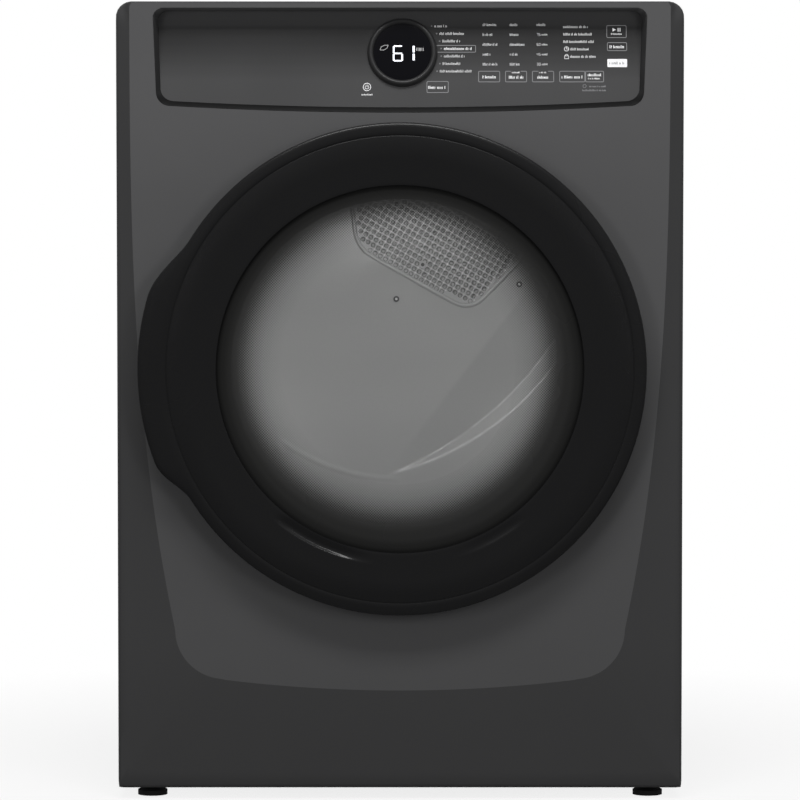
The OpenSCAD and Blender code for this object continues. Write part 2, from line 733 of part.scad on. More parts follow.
module drum_light() {
    color([0.95, 0.95, 0.9]) at_angle(light_a) translate([0, light_y, 0]) rotate([0, 90, 0])
        rotate_extrude() polygon([[0, mouth_r - 4], [6, mouth_r - 3], [9, mouth_r], [9, mouth_r + 3],
            [12.5, mouth_r + 3], [12.5, mouth_r + 6], [10, mouth_r + 14], [0, mouth_r + 14]]);
}

// Door fittings on the cabinet
strike_x = -253;
module latch_catch() {
    color([0.85, 0.85, 0.84]) difference() {
        block([strike_x - 8, throat_y + 2, door_z - 18], [strike_x + 8, throat_y + 28, door_z + 18]);
        block([strike_x - 6, throat_y + 1, door_z - 14], [strike_x + 6, throat_y + 26, door_z + 14]);
    }
}
switch_a = 205;
switch_x = 252;
plunger_r = 3;
module door_switch() {
    color([0.9, 0.9, 0.88]) at_angle(switch_a) difference() {
        block([switch_x - 6, throat_y + 2, -9], [switch_x + 8, throat_y + 24, 9]);
        bar_y(switch_x, 0, plunger_r + running, throat_y, throat_y + 20);
    }
}
module switch_plunger() {
    color([0.2, 0.2, 0.2]) at_angle(switch_a)
        bar_y(switch_x, 0, plunger_r, y_door_back + clearance, throat_y + 14);
}
module moisture_sensors() {
    color([0.8, 0.8, 0.8]) for (z = [door_z - mouth_r - 16, door_z - mouth_r - 32])
        block([-50, y_plate, z], [50, y_plate + 3, z + 6]);
}

// Hinge: the pin and two knuckles on the cabinet, two knuckles on the door
hinge_x = door_r - 5.5;
hinge_y = y_face - 13;
hinge_r = 4;
hinge_pin_r = 2;
hinge_half = 40;
module hinge_bracket() {
    color([0.45, 0.45, 0.46]) {
        block([272, y_face - 1.5, door_z - hinge_half], [hinge_x, y_face, door_z + hinge_half]);
        for (s = [-1, 1]) translate([hinge_x, hinge_y, door_z + s * 33]) {
            translate([0, 0, -7]) cylinder(r = hinge_r, h = 14);
            block([-4, 0, -7], [1, y_face - hinge_y - 1, 7]);
        }
        translate([hinge_x, hinge_y, door_z - hinge_half]) cylinder(r = hinge_pin_r, h = 2 * hinge_half);
    }
}
module door_hinge_arm() {
    color([0.45, 0.45, 0.46]) difference() {
        union() {
            for (s = [-1, 1]) translate([hinge_x, hinge_y, door_z + s * 17 - 7]) cylinder(r = hinge_r, h = 14);
            block([240, y_door_back - 8, door_z - 24], [hinge_x - 3, y_door_back - 5, door_z + 24]);
            for (s = [-1, 1]) block([hinge_x - 4, y_door_back - 8, door_z + s * 17 - 7],
                [hinge_x, y_door_back - 5, door_z + s * 17 + 7]);
        }
        translate([hinge_x, hinge_y, door_z - 50]) cylinder(r = hinge_pin_r + running, h = 100);
    }
}

// Door ring outline: a circle with a handle swelling on the left.
// The angle d is measured up from the middle of the left side.
function smooth(t) = t <= 0 ? 0 : t >= 1 ? 1 : t * t * (3 - 2 * t);
function handle_bump(d) = d > 0 ? 1 - smooth((d - 16) / 16) : 1 - smooth((-d - 21) / 11);
module ring_outline(inset) {
    polygon([for (a = [0:2:358]) let (r = door_r - inset + handle_out * handle_bump(180 - a))
        [r * cos(a), door_z + r * sin(a)]]);
}
// Behind the handle the ring is scooped out for the fingers.
scoop_r = 95;
scoop_x = -270;
module rear_outline(inset) {
    offset(delta = -inset) difference() {
        translate([0, door_z]) circle(r = door_r, $fn = 180);
        translate([scoop_x - scoop_r, door_z]) circle(r = scoop_r, $fn = 96);
    }
}
// Room around the hinge knuckles
module hinge_notch() {
    block([hinge_x - 9, hinge_y - 7, door_z - 42], [hinge_x + 20, y_face, door_z + 42]);
}
trim_r = 278.5;
trim_w = 3;
// Ledge that the window rests on
lip_w = 5;
lip_y = [y_door + 7, y_door + 10];
handle_y = y_door + 22;
module door_ring() {
    color([0.06, 0.06, 0.06]) difference() {
        union() {
            slab(y_door, y_door + 8) ring_outline(6);
            slab(y_door + 8, handle_y) ring_outline(0);
            slab(handle_y, y_door_back) rear_outline(0);
        }
        slab(y_door + wall, handle_y - wall) difference() {
            ring_outline(wall + 6);
            translate([0, door_z]) circle(r = window_r + wall);
        }
        slab(handle_y - wall - 1, y_door_back + 1) difference() {
            rear_outline(wall);
            translate([0, door_z]) circle(r = window_r + wall);
        }
        bar_y(0, door_z, window_r + wall + 1, y_door_back - 5, y_door_back + 1);
        bar_y(0, door_z, window_r, y_door - 1, lip_y[0]);
        bar_y(0, door_z, window_r - lip_w, y_door - 1, y_door_back + 1);
        turn_y(0, door_z) translate([trim_r, y_door - 1]) square([trim_w, 2.2]);
        hinge_notch();
    }
}
module door_trim() {
    color([0.6, 0.6, 0.62]) turn_y(0, door_z) translate([trim_r, y_door]) square([trim_w, 1.2]);
}
module door_glass() {
    color([0.15, 0.15, 0.16, 0.6]) bar_y(0, door_z, window_r, y_door + 2, lip_y[0]);
}
bowl_y = y_door_back + bowl_d;
module door_bowl() {
    color([0.6, 0.65, 0.7, 0.6]) turn_y(0, door_z) polygon([[199, y_door_back - 8], [213, y_door_back - 8],
        [213, y_door_back - 5], [203, y_door_back - 5], [clear_r + 4, bowl_y - 4], [clear_r - 2, bowl_y],
        [0, bowl_y], [0, bowl_y - 4], [clear_r - 2, bowl_y - 4], [clear_r, bowl_y - 6]]);
}
module door_liner() {
    color([0.2, 0.2, 0.2]) difference() {
        slab(y_door_back - 5, y_door_back) rear_outline(wall);
        bar_y(0, door_z, 204, y_door_back - 6, y_door_back + 1);
        hinge_notch();
    }
}
module door_seal() {
    color([0.15, 0.15, 0.15]) turn_y(0, door_z)
        translate([panel_hole_r + 2.5, y_door_back]) square([9, door_gap - clearance]);
}
module door_strike() {
    color([0.7, 0.7, 0.72]) difference() {
        union() {
            block([strike_x - 6, y_door_back, door_z - 14], [strike_x + 7, y_door_back + 2, door_z + 14]);
            block([strike_x - 3, y_door_back, door_z - 10], [strike_x + 3, y_door_back + 23, door_z + 10]);
        }
        block([strike_x - 4, y_door_back + 12, door_z - 6], [strike_x + 4, y_door_back + 18, door_z + 6]);
    }
}

// Lint filter: a frame with a handle along its top and a screen inside
filter_z = [172, door_z - mouth_r + 12];
module lint_filter() {
    out = filter_w / 2;
    color([0.85, 0.85, 0.86]) difference() {
        block([-out, filter_y[0], filter_z[0]], [out, filter_y[1], filter_z[1]]);
        block([-out + 8, filter_y[0] + 2, filter_z[0] + 8], [out - 8, filter_y[1] + 1, filter_z[1] - 22]);
        for (x = [-out + 14:44:out - 40])
            block([x, filter_y[0] - 1, filter_z[0] + 12], [x + 38, filter_y[1], filter_z[1] - 26]);
        block([-40, filter_y[0] - 1, filter_z[1] - 17], [40, filter_y[0] + 6, filter_z[1] - 7]);
    }
}
module lint_screen() {
    color([0.6, 0.62, 0.65]) block([-filter_w / 2 + 8, filter_y[0] + 2, filter_z[0] + 8],
        [filter_w / 2 - 8, filter_y[0] + 3, filter_z[1] - 22]);
}

module cabinet_screws() {
    color([0.7, 0.7, 0.72]) {
        for (x = [-330, 330], z = [60:170:920]) bar_y(x, z, 4.5, y_back, y_back + 2.5);
        for (x = [-220:110:220]) bar_y(x, side_top - 10, 4.5, y_back, y_back + 2.5);
        for (x = [cover_x - 45, cover_x + 45]) bar_y(x, cover_z, 4.5, y_back, y_back + 2.5);
        for (c = grille_screws) bar_y(inlet_x + c[0], inlet_z + c[1], 5, y_rear_plate - 5, y_rear_plate - 2);
        for (c = wall_screws) bar_y(c[0], c[1], 4, y_rear_plate - 3, y_rear_plate);
    }
}
grille_screws = [[-44, -32], [96, -10], [-118, 66]];
wall_screws = [[-5, 589], [163, 609]];

side_panel_left();
side_panel_right();
rear_panel();
base_pan();
top_panel();
front_panel();
console_housing();
console_fascia();
display_ring();
display_lens();
control_boards();
front_bulkhead();
drum_glides();
drum_seals();
rear_bulkhead();
air_inlet_grille();
roller_shafts();
heater_housing();
heater_coils();
thermostats();
motor_body();
motor_bracket();
blower_housing();
lint_duct();
exhaust_duct();
drive_belt();
terminal_cover();
water_valve();
steam_tube();
spray_nozzle();
latch_catch();
door_switch();
moisture_sensors();
hinge_bracket();
drum_light();
cabinet_screws();
idler_spring();
switch_plunger();
drum_shell();
drum_baffles();
roller_left();
roller_right();
motor_shaft();
blower_wheel();
idler_arm();
idler_pulley();
door_ring();
door_trim();
door_glass();
door_bowl();
door_liner();
door_seal();
door_hinge_arm();
door_strike();
lint_filter();
lint_screen();
foot_front_left();
foot_front_right();
foot_rear_left();
foot_rear_right();
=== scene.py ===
import math

import bmesh
import bpy
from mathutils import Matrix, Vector


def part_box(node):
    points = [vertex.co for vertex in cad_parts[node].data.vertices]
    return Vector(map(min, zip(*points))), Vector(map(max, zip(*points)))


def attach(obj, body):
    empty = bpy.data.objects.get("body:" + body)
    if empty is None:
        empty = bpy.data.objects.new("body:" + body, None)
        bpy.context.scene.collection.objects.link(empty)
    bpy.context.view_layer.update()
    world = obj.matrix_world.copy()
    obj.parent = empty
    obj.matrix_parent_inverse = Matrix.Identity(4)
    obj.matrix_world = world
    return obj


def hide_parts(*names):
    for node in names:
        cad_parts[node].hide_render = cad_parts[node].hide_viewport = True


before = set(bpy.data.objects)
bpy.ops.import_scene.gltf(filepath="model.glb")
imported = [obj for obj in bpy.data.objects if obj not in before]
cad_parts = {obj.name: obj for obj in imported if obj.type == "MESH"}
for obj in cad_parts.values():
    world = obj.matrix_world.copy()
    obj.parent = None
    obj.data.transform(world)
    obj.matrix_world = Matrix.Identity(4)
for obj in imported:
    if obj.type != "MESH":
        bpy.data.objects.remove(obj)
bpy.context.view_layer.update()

# ---------------------------------------------------------------- named sizes, in metres
MM = 0.001
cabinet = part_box("front_panel")
ring_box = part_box("door_ring")
wall_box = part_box("rear_bulkhead")
Y_FACE = cabinet[0].y
Y_SIDE = cabinet[1].y
HALF_W = cabinet[1].x
TOP = cabinet[1].z
BASE = cabinet[0].z
DOOR_Z = (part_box("door_glass")[0].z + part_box("door_glass")[1].z) / 2
DOOR_R = ring_box[1].x
Y_DOOR = ring_box[0].y
Y_DOOR_BACK = ring_box[1].y
WINDOW_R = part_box("door_glass")[1].x
DRUM_Z = (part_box("drum_shell")[0].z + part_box("drum_shell")[1].z) / 2
Y_WALL = wall_box[0].y
HANDLE_OUT = 19 * MM
HANDLE_Y = Y_DOOR + 22 * MM
PANEL_HOLE = 258 * MM
FACE_HALF, FACE_TAPER = 325 * MM, 53 * MM
FACE_LOW, FACE_CORNER = 134 * MM, 60 * MM
FACE_CORNER_Z = FACE_LOW + 14 * MM + FACE_CORNER
CORNER_R, LOW_CORNER_R = 18 * MM, 2.5 * MM
CONSOLE_Y = Y_FACE + 6 * MM
CONSOLE_LOW, CONSOLE_TOP, CONSOLE_HALF = 840 * MM, 958 * MM, 297 * MM
TILT = math.radians(12)
DISPLAY_X, DISPLAY_Z, DISPLAY_R = 2.9 * MM, 904.4 * MM, 35.3 * MM
SEAM_R = 280 * MM
DISH, LEDGE = 2.2 * MM, 5 * MM
HINGE_NOTCH = 0.147  # half of the flat on the door's edge at its hinge, in radians
CONSOLE_BACK = 40 * MM
WALL_R = 303
INLET_X, INLET_Z = 75 * MM, DRUM_Z + 138 * MM
CAMERA_Y, CAMERA_Z, CAMERA_LENS, CAMERA_AIM_Z = -5.357, 0.75, 186.8, 0.4862
WORLD_FILL, GLOSS_GROUND, GLOSS_SKY = 0.26, 0.04, 0.26


# ---------------------------------------------------------------- materials
def socket(node, name, value):
    node.inputs[name].default_value = value


def noise(nodes, links, source, scale, detail):
    node = nodes.new("ShaderNodeTexNoise")
    socket(node, "Scale", scale)
    socket(node, "Detail", detail)
    links.new(source, node.inputs["Vector"])
    return node.outputs["Fac"]


def map_range(nodes, links, value, low, high, to_low=0.0, to_high=1.0):
    node = nodes.new("ShaderNodeMapRange")
    for name, limit in (("From Min", low), ("From Max", high), ("To Min", to_low),
                        ("To Max", to_high)):
        socket(node, name, limit)
    links.new(value, node.inputs["Value"])
    return node.outputs["Result"]


def surface(name, colour, rough, metal=0.0, spread=0.06, grain=900.0, bump=0.05, coat=0.0,
            rough_spread=0.05, alpha=1.0, ior=1.45, glow=0.0, shade=None, brushed=None):
    """A procedural finish: fine grain in the colour, drifting roughness and a fine relief."""
    mat = bpy.data.materials.new(name)
    mat.use_nodes = True
    tree = mat.node_tree
    nodes, links = tree.nodes, tree.links
    bsdf = nodes["Principled BSDF"]
    place = nodes.new("ShaderNodeTexCoord")
    source = place.outputs["Object"]
    if brushed is not None:
        stretch = nodes.new("ShaderNodeMapping")
        stretch.inputs["Scale"].default_value = brushed
        links.new(place.outputs["Object"], stretch.inputs["Vector"])
        source = stretch.outputs["Vector"]
    fine = noise(nodes, links, source, grain, 3.0)
    broad = noise(nodes, links, place.outputs["Object"], 7.0, 2.0)
    tint = nodes.new("ShaderNodeMix")
    tint.data_type = "RGBA"
    low = [c * (1 - spread) for c in colour] + [1.0]
    high = [min(1.0, c * (1 + spread)) for c in colour] + [1.0]
    tint.inputs["A"].default_value = low
    tint.inputs["B"].default_value = high
    links.new(fine, tint.inputs["Factor"])
    result = tint.outputs["Result"]
    if shade is not None:
        result = add_shade(nodes, links, place, result, shade)
    links.new(result, bsdf.inputs["Base Color"])
    drift = map_range(nodes, links, broad, 0.3, 0.7, max(0.02, rough - rough_spread),
                      min(1.0, rough + rough_spread))
    links.new(drift, bsdf.inputs["Roughness"])
    relief = nodes.new("ShaderNodeBump")
    socket(relief, "Strength", bump)
    socket(relief, "Distance", 0.0004)
    links.new(fine, relief.inputs["Height"])
    links.new(relief.outputs["Normal"], bsdf.inputs["Normal"])
    socket(bsdf, "Metallic", metal)
    socket(bsdf, "Coat Weight", coat)
    socket(bsdf, "Coat Roughness", 0.12)
    socket(bsdf, "IOR", ior)
    socket(bsdf, "Alpha", alpha)
    if glow > 0:
        socket(bsdf, "Emission Color", list(colour) + [1.0])
        socket(bsdf, "Emission Strength", glow)
    return mat


def distance_from(nodes, links, place, centre):
    """The vector from a point to the shaded place, and its length."""
    centred = nodes.new("ShaderNodeVectorMath")
    centred.operation = "SUBTRACT"
    links.new(place.outputs["Object"], centred.inputs[0])
    centred.inputs[1].default_value = centre
    length = nodes.new("ShaderNodeVectorMath")
    length.operation = "LENGTH"
    links.new(centred.outputs["Vector"], length.inputs[0])
    return centred.outputs["Vector"], length.outputs["Value"]


def grey_ramp(nodes, links, value, stops, interpolation):
    """A ramp of greys through stops [(value, grey)]."""
    low, high = stops[0][0], stops[-1][0]
    span = map_range(nodes, links, value, low, high)
    ramp = nodes.new("ShaderNodeValToRGB")
    ramp.color_ramp.interpolation = interpolation
    for i, (position, tone) in enumerate(stops):
        at = (position - low) / (high - low)
        if i < 2:
            stop = ramp.color_ramp.elements[i]
            stop.position = at
        else:
            stop = ramp.color_ramp.elements.new(at)
        stop.color = (tone, tone, tone, 1.0)
    links.new(span, ramp.inputs["Fac"])
    return ramp.outputs["Color"]


def add_shade(nodes, links, place, colour, shade):
    """Multiplies a colour by a ramp along an axis, or by radius from the middle of the door."""
    axis, stops = shade
    if axis == "radius":
        value = distance_from(nodes, links, place, (0.0, Y_DOOR, DOOR_Z))[1]
    else:
        split = nodes.new("ShaderNodeSeparateXYZ")
        links.new(place.outputs["Object"], split.inputs["Vector"])
        value = split.outputs[axis]
    product = nodes.new("ShaderNodeMix")
    product.data_type = "RGBA"
    product.blend_type = "MULTIPLY"
    socket(product, "Factor", 1.0)
    links.new(colour, product.inputs["A"])
    links.new(grey_ramp(nodes, links, value, stops, "EASE"), product.inputs["B"])
    return product.outputs["Result"]


def grey(v):
    return (v, v, v * 1.02)


# The front paint darkens towards the bottom along its height ramp: painted shade.
PAINT = surface("cabinet paint", grey(0.150), 0.42, metal=0.35, spread=0.08, grain=2600, bump=0.06,
                coat=0.25, shade=("Z", [(0.0, 0.60), (0.25, 0.71), (0.7, 0.82), (0.86, 0.92),
                                        (0.97, 0.90)]))
# A darker copy of the front paint for the border band, also darker towards the bottom: painted shade.
SHADED_BAND_PAINT = surface("cabinet paint border in painted shade", grey(0.074), 0.46, metal=0.3, spread=0.08, grain=2600,
                     bump=0.06, coat=0.2,
                     shade=("Z", [(0.0, 0.72), (0.25, 0.85), (0.7, 0.97), (0.97, 1.0)]))
SIDE_PAINT = surface("side paint", grey(0.085), 0.45, metal=0.3, spread=0.10, grain=2200, bump=0.10,
                     coat=0.15)
# The console film is darker across its upper middle and lighter at its low edge and very top: painted
# shade and light, the top lifted to hide the shadow of the bezel's top edge.
FILM = surface("console film", grey(0.105), 0.34, metal=0.2, spread=0.05, grain=3000, bump=0.02,
               coat=0.3, shade=("Z", [(0.842, 0.66), (0.870, 0.67), (0.884, 0.56), (0.896, 0.44),
                                      (0.908, 0.33), (0.918, 0.24), (0.927, 0.22), (0.934, 0.33),
                                      (0.940, 0.48), (0.948, 0.66), (0.958, 1.0)]))
# The bezel is dark along its low edge and lighter towards its top: painted shade and light along the
# height.
CONSOLE_EDGE = surface("console edge", grey(0.16), 0.5, spread=0.08, grain=1500, bump=0.05,
                       ior=1.3, shade=("Z", [(0.83, 0.034), (0.846, 0.045), (0.86, 0.20),
                                             (0.90, 0.26), (0.935, 0.31), (0.950, 0.45),
                                             (0.957, 1.0)]))
DISPLAY_RING = surface("display ring metal", grey(0.036), 0.42, metal=0.25, spread=0.05, grain=1800,
                       bump=0.03, coat=0.1)
DISPLAY_BLACK = surface("display black", (0.003, 0.003, 0.0045), 0.12, spread=0.2, grain=600,
                        bump=0.0, coat=0.0, rough_spread=0.02, ior=1.35)
DIGITS = surface("display digits", (0.9, 0.93, 1.0), 0.4, spread=0.03, grain=900, bump=0.0, glow=1.0)
INK_SHADOW = surface("knocked out legend", (0.30, 0.30, 0.31), 0.5, spread=0.08, grain=1800, bump=0.02)
DIGITS_DIM = surface("display icons", (0.42, 0.42, 0.42), 0.5, spread=0.05, grain=900, bump=0.0,
                     glow=0.3)
# White print, with a faint glow added as painted light.
INK = surface("printed marks", (0.88, 0.88, 0.89), 0.5, spread=0.08, grain=1800, bump=0.02,
              glow=0.2)
INK_DIM = surface("printed outlines", (0.30, 0.30, 0.31), 0.5, spread=0.10, grain=1800, bump=0.02)
DOOR_BLACK = surface("door black", (0.0098, 0.0098, 0.0102), 0.26, spread=0.15, grain=1400, bump=0.03,
                     coat=0.0, rough_spread=0.04, ior=1.4)
SEAM = surface("door seam", (0.075, 0.075, 0.078), 0.35, metal=0.8, spread=0.1, grain=900, bump=0.03)
# The printed border darkens towards the pane's rim along a ramp of radius.
FRIT = surface("window print", (0.025, 0.025, 0.0245), 0.3, spread=0.1, grain=1500, bump=0.01,
               ior=1.2, shade=("radius", [(0.190, 1.0), (0.203, 0.9), (0.213, 0.6), (0.221, 0.25)]))
GLASS = surface("window glass", (0.03, 0.032, 0.03), 0.05, spread=0.1, grain=30, bump=0.0,
                alpha=0.22, rough_spread=0.015, coat=0.0)
BOWL = surface("bowl glass", (0.10, 0.11, 0.11), 0.08, spread=0.1, grain=30, bump=0.02, alpha=0.08,
               rough_spread=0.03)
# The enamel is lighter low down and darker towards the top: painted light and shade along the height,
# on every part that wears it.
ENAMEL = surface("drum enamel", (0.485, 0.485, 0.478), 0.34, spread=0.05, grain=700, bump=0.04,
                 coat=0.2, shade=("Z", [(0.36, 1.0), (0.42, 0.97), (0.52, 0.87), (0.60, 0.78),
                                        (0.68, 0.70)]))
INLET_BACK = surface("duct wall", (0.42, 0.42, 0.415), 0.5, spread=0.05, grain=700, bump=0.04)
# A dark tone for the lips sunk into the inlet holes: painted shade.
HOLE_LIP_SHADE = surface("inlet hole lips in painted shade", (0.15, 0.15, 0.148), 0.4, spread=0.05, grain=700, bump=0.04)
# A bright tone for the small crowns on the inlet plate and the middles of the wall's screws: painted
# highlight.
CROWN_GLINT = surface("crowns and screw middles, painted glint", (0.66, 0.66, 0.65), 0.3, spread=0.05, grain=700, bump=0.04,
                      coat=0.3)
DRUM_STEEL = surface("drum steel", (0.55, 0.56, 0.57), 0.32, metal=0.75, spread=0.05, grain=300,
                     bump=0.05, brushed=(0.2, 6.0, 6.0))
GALVANISED = surface("galvanised steel", (0.50, 0.51, 0.52), 0.42, metal=0.7, spread=0.22,
                     grain=55, bump=0.04)
SCREW_DARK = surface("screw drive", (0.10, 0.10, 0.10), 0.6, spread=0.1, grain=700, bump=0.02)
SCREW = surface("screw steel", (0.22, 0.22, 0.22), 0.6, metal=0.3, spread=0.1, grain=700,
                bump=0.05)
STEEL = surface("plain steel", (0.45, 0.45, 0.46), 0.36, metal=0.9, spread=0.08, grain=500, bump=0.05)
HEATER_WIRE = surface("heater wire", (0.30, 0.27, 0.24), 0.5, metal=0.8, spread=0.15, grain=700,
                      bump=0.05)
MOTOR = surface("motor metal", (0.34, 0.35, 0.36), 0.45, metal=0.6, spread=0.1, grain=300, bump=0.08)
DUCT = surface("duct plastic", (0.17, 0.17, 0.175), 0.5, spread=0.07, grain=900, bump=0.06)
RUBBER = surface("rubber", (0.018, 0.018, 0.018), 0.72, spread=0.15, grain=1200, bump=0.12)
SEAL = surface("seal rubber", (0.03, 0.03, 0.031), 0.66, spread=0.12, grain=1200, bump=0.10)
FELT = surface("felt", (0.28, 0.27, 0.25), 0.95, spread=0.25, grain=900, bump=0.5)
WHITE_PLASTIC = surface("white plastic", (0.66, 0.66, 0.64), 0.4, spread=0.04, grain=900, bump=0.04)
BLACK_PLASTIC = surface("black plastic", (0.02, 0.02, 0.02), 0.42, spread=0.12, grain=1200, bump=0.06)
LINER = surface("liner plastic", (0.04, 0.04, 0.041), 0.4, spread=0.1, grain=1200, bump=0.05)
LAMP = surface("lamp lens", (0.85, 0.84, 0.78), 0.25, spread=0.03, grain=400, bump=0.03, glow=0.4)
BOARD = surface("circuit board", (0.03, 0.16, 0.08), 0.45, spread=0.15, grain=400, bump=0.05)
MESH = surface("filter mesh", (0.42, 0.43, 0.44), 0.5, metal=0.5, spread=0.35, grain=1600, bump=0.4)
FEET = surface("foot plastic", (0.008, 0.008, 0.008), 0.5, spread=0.15, grain=1200, bump=0.08)


# ---------------------------------------------------------------- mesh helpers
def ride(name, mesh, mat, body, replaces):
    """Gives a mesh its finish and rides it on a CAD body."""
    mesh.materials.append(mat)
    obj = bpy.data.objects.new(name, mesh)
    bpy.context.scene.collection.objects.link(obj)
    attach(obj, body)
    if replaces:
        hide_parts(*replaces)
    return obj


def piece(name, points, faces, mat, body, slot=None, replaces=(), smooth=True):
    """Makes a mesh from points in the row frame, in metres, and rides it on a CAD body."""
    mesh = bpy.data.meshes.new(name)
    mesh.from_pydata([tuple(p) for p in points], [], [tuple(f) for f in faces])
    mesh.validate()
    for poly in mesh.polygons:
        poly.use_smooth = smooth
    return ride(name, mesh, mat, body, replaces)


def fix_normals(obj):
    work = bmesh.new()
    work.from_mesh(obj.data)
    bmesh.ops.remove_doubles(work, verts=work.verts, dist=1e-6)
    bmesh.ops.recalc_face_normals(work, faces=work.faces)
    work.to_mesh(obj.data)
    work.free()


def crease(obj, degrees=30.0):
    """Keeps edges sharper than this angle crisp while the rest shades smoothly."""
    obj.data.set_sharp_from_angle(angle=math.radians(degrees))


def grid_faces(rows, columns, closed_rows=False, closed_columns=False, start=0):
    faces = []
    last_row = rows if closed_rows else rows - 1
    last_column = columns if closed_columns else columns - 1
    for i in range(last_row):
        for j in range(last_column):
            a = start + i * columns + j
            b = start + i * columns + (j + 1) % columns
            c = start + ((i + 1) % rows) * columns + (j + 1) % columns
            d = start + ((i + 1) % rows) * columns + j
            faces.append((a, b, c, d))
    return faces


def swept(profile_at, angles, x, z):
    """Points of a profile [(radius, y)] that may change with the angle, swept round (x, z)."""
    points = []
    for a in angles:
        c, s = math.cos(a), math.sin(a)
        for r, y in profile_at(a):
            points.append((x + r * c, y, z + r * s))
    return points


def circle(x, z, r, n):
    """n points of a circle round (x, z)."""
    turns = [2 * math.pi * i / n for i in range(n)]
    return [(x + r * math.cos(a), z + r * math.sin(a)) for a in turns]


def turned(name, profile, x, z, mat, body, slot, replaces, steps):
    """Turns a profile [(radius, y)] round (x, z)."""
    angles = [2 * math.pi * i / steps for i in range(steps)]
    # Known fault: the profiles are in metres already, so this factor makes
    # the three pieces turned here 1000 times too small. The tidy keeps every shape as it was.
    points = [tuple(c * MM for c in p) for p in swept(lambda a: profile, angles, x, z)]
    obj = piece(name, points, grid_faces(steps, len(profile), True, True), mat, body, slot,
                replaces)
    fix_normals(obj)
    crease(obj)
    return obj


def smooth_step(t):
    t = min(1.0, max(0.0, t))
    return t * t * (3 - 2 * t)


def fill_outlines(name, loops, plane, depth, mat, body, replaces=()):
    """A flat plate with holes: loops of (u, v) points, mapped by plane(u, v, out) and given a depth."""
    work = bmesh.new()
    rims = []
    for loop in loops:
        corners = [work.verts.new(plane(u, v, 0.0)) for u, v in loop]
        rim = [work.edges.new((corners[i], corners[(i + 1) % len(corners)]))
               for i in range(len(corners))]
        rims.append((corners, rim))
    every = [e for _, rim in rims for e in rim]
    bmesh.ops.triangle_fill(work, use_beauty=True, use_dissolve=False, edges=every)
    front = list(work.faces)
    back = {}
    for loop, (corners, _) in zip(loops, rims):
        for corner, (u, v) in zip(corners, loop):
            back[corner] = work.verts.new(plane(u, v, -depth))
    for f in front:
        work.faces.new([back[v] for v in reversed(f.verts)])
    for corners, _ in rims:
        for i, a in enumerate(corners):
            b = corners[(i + 1) % len(corners)]
            work.faces.new((a, b, back[b], back[a]))
    bmesh.ops.recalc_face_normals(work, faces=work.faces)
    mesh = bpy.data.meshes.new(name)
    work.to_mesh(mesh)
    work.free()
    return ride(name, mesh, mat, body, replaces)


# ---------------------------------------------------------------- front panel skin
def face_half_at(z):
    drop = (TOP - z) / (TOP - FACE_CORNER_Z)
    return FACE_HALF - FACE_TAPER * max(0.0, drop) ** 3


def arc(x, z, r, a0, a1, steps):
    turn = [math.radians(a0 + (a1 - a0) * i / steps) for i in range(steps + 1)]
    return [(x + r * math.cos(a), z + r * math.sin(a)) for a in turn]


def bow(x0, z0, low, steps):
    drop = z0 - low
    r = (x0 * x0 + drop * drop) / (2 * drop)
    xs = [x0 * (1 - i / steps) for i in range(steps + 1)]
    return [(x, low + r - math.sqrt(r * r - x * x)) for x in xs]


def mirrored(half):
    return half + [(-x, z) for x, z in reversed(half)]


def shield_outline():
    corner_z = FACE_CORNER_Z
    sides = [TOP + (corner_z - TOP) * i / 40 for i in range(41)]
    corner_x = face_half_at(corner_z) - FACE_CORNER
    half = [(face_half_at(z), z) for z in sides]
    half += arc(corner_x, corner_z, FACE_CORNER, -4, -86, 24)
    half += bow(corner_x, corner_z - FACE_CORNER - 1 * MM, FACE_LOW, 24)
    return mirrored(half)


def cabinet_outline():
    half = arc(HALF_W - CORNER_R, TOP - CORNER_R, CORNER_R, 90, 0, 16)
    half += arc(HALF_W - LOW_CORNER_R, BASE + LOW_CORNER_R, LOW_CORNER_R, 0, -90, 10)
    return mirrored(half)


def reach(outline, centre, angle):
    """Distance from the centre to the outline along a direction."""
    cx, cz = centre
    dx, dz = math.cos(angle), math.sin(angle)
    best = 0.0
    n = len(outline)
    for i in range(n):
        x0, z0 = outline[i]
        x1, z1 = outline[(i + 1) % n]
        ex, ez = x1 - x0, z1 - z0
        det = ex * dz - ez * dx
        if abs(det) < 1e-12:
            continue
        along = ((cx - x0) * dz - (cz - z0) * dx) / det
        far = ((x0 - cx) * ez - (z0 - cz) * ex) / -det
        if -1e-9 <= along <= 1 + 1e-9 and far > best:
            best = far
    return best


def console_outline():
    r_top, r_low, inset, sag = 12 * MM, 17 * MM, 3.6 * MM, 8 * MM
    half = [(0.0, CONSOLE_TOP)]
    half += arc(CONSOLE_HALF - r_top, CONSOLE_TOP - r_top, r_top, 90, 0, 12)
    half += arc(CONSOLE_HALF - inset - r_low, CONSOLE_LOW + r_low, r_low, 0, -86, 12)
    half += bow(CONSOLE_HALF - inset - r_low - 4 * MM, CONSOLE_LOW - 0.2 * MM, CONSOLE_LOW - sag, 20)
    return half[:-1] + [(0.0, CONSOLE_LOW - sag)] + [(-x, z) for x, z in reversed(half[1:-1])]


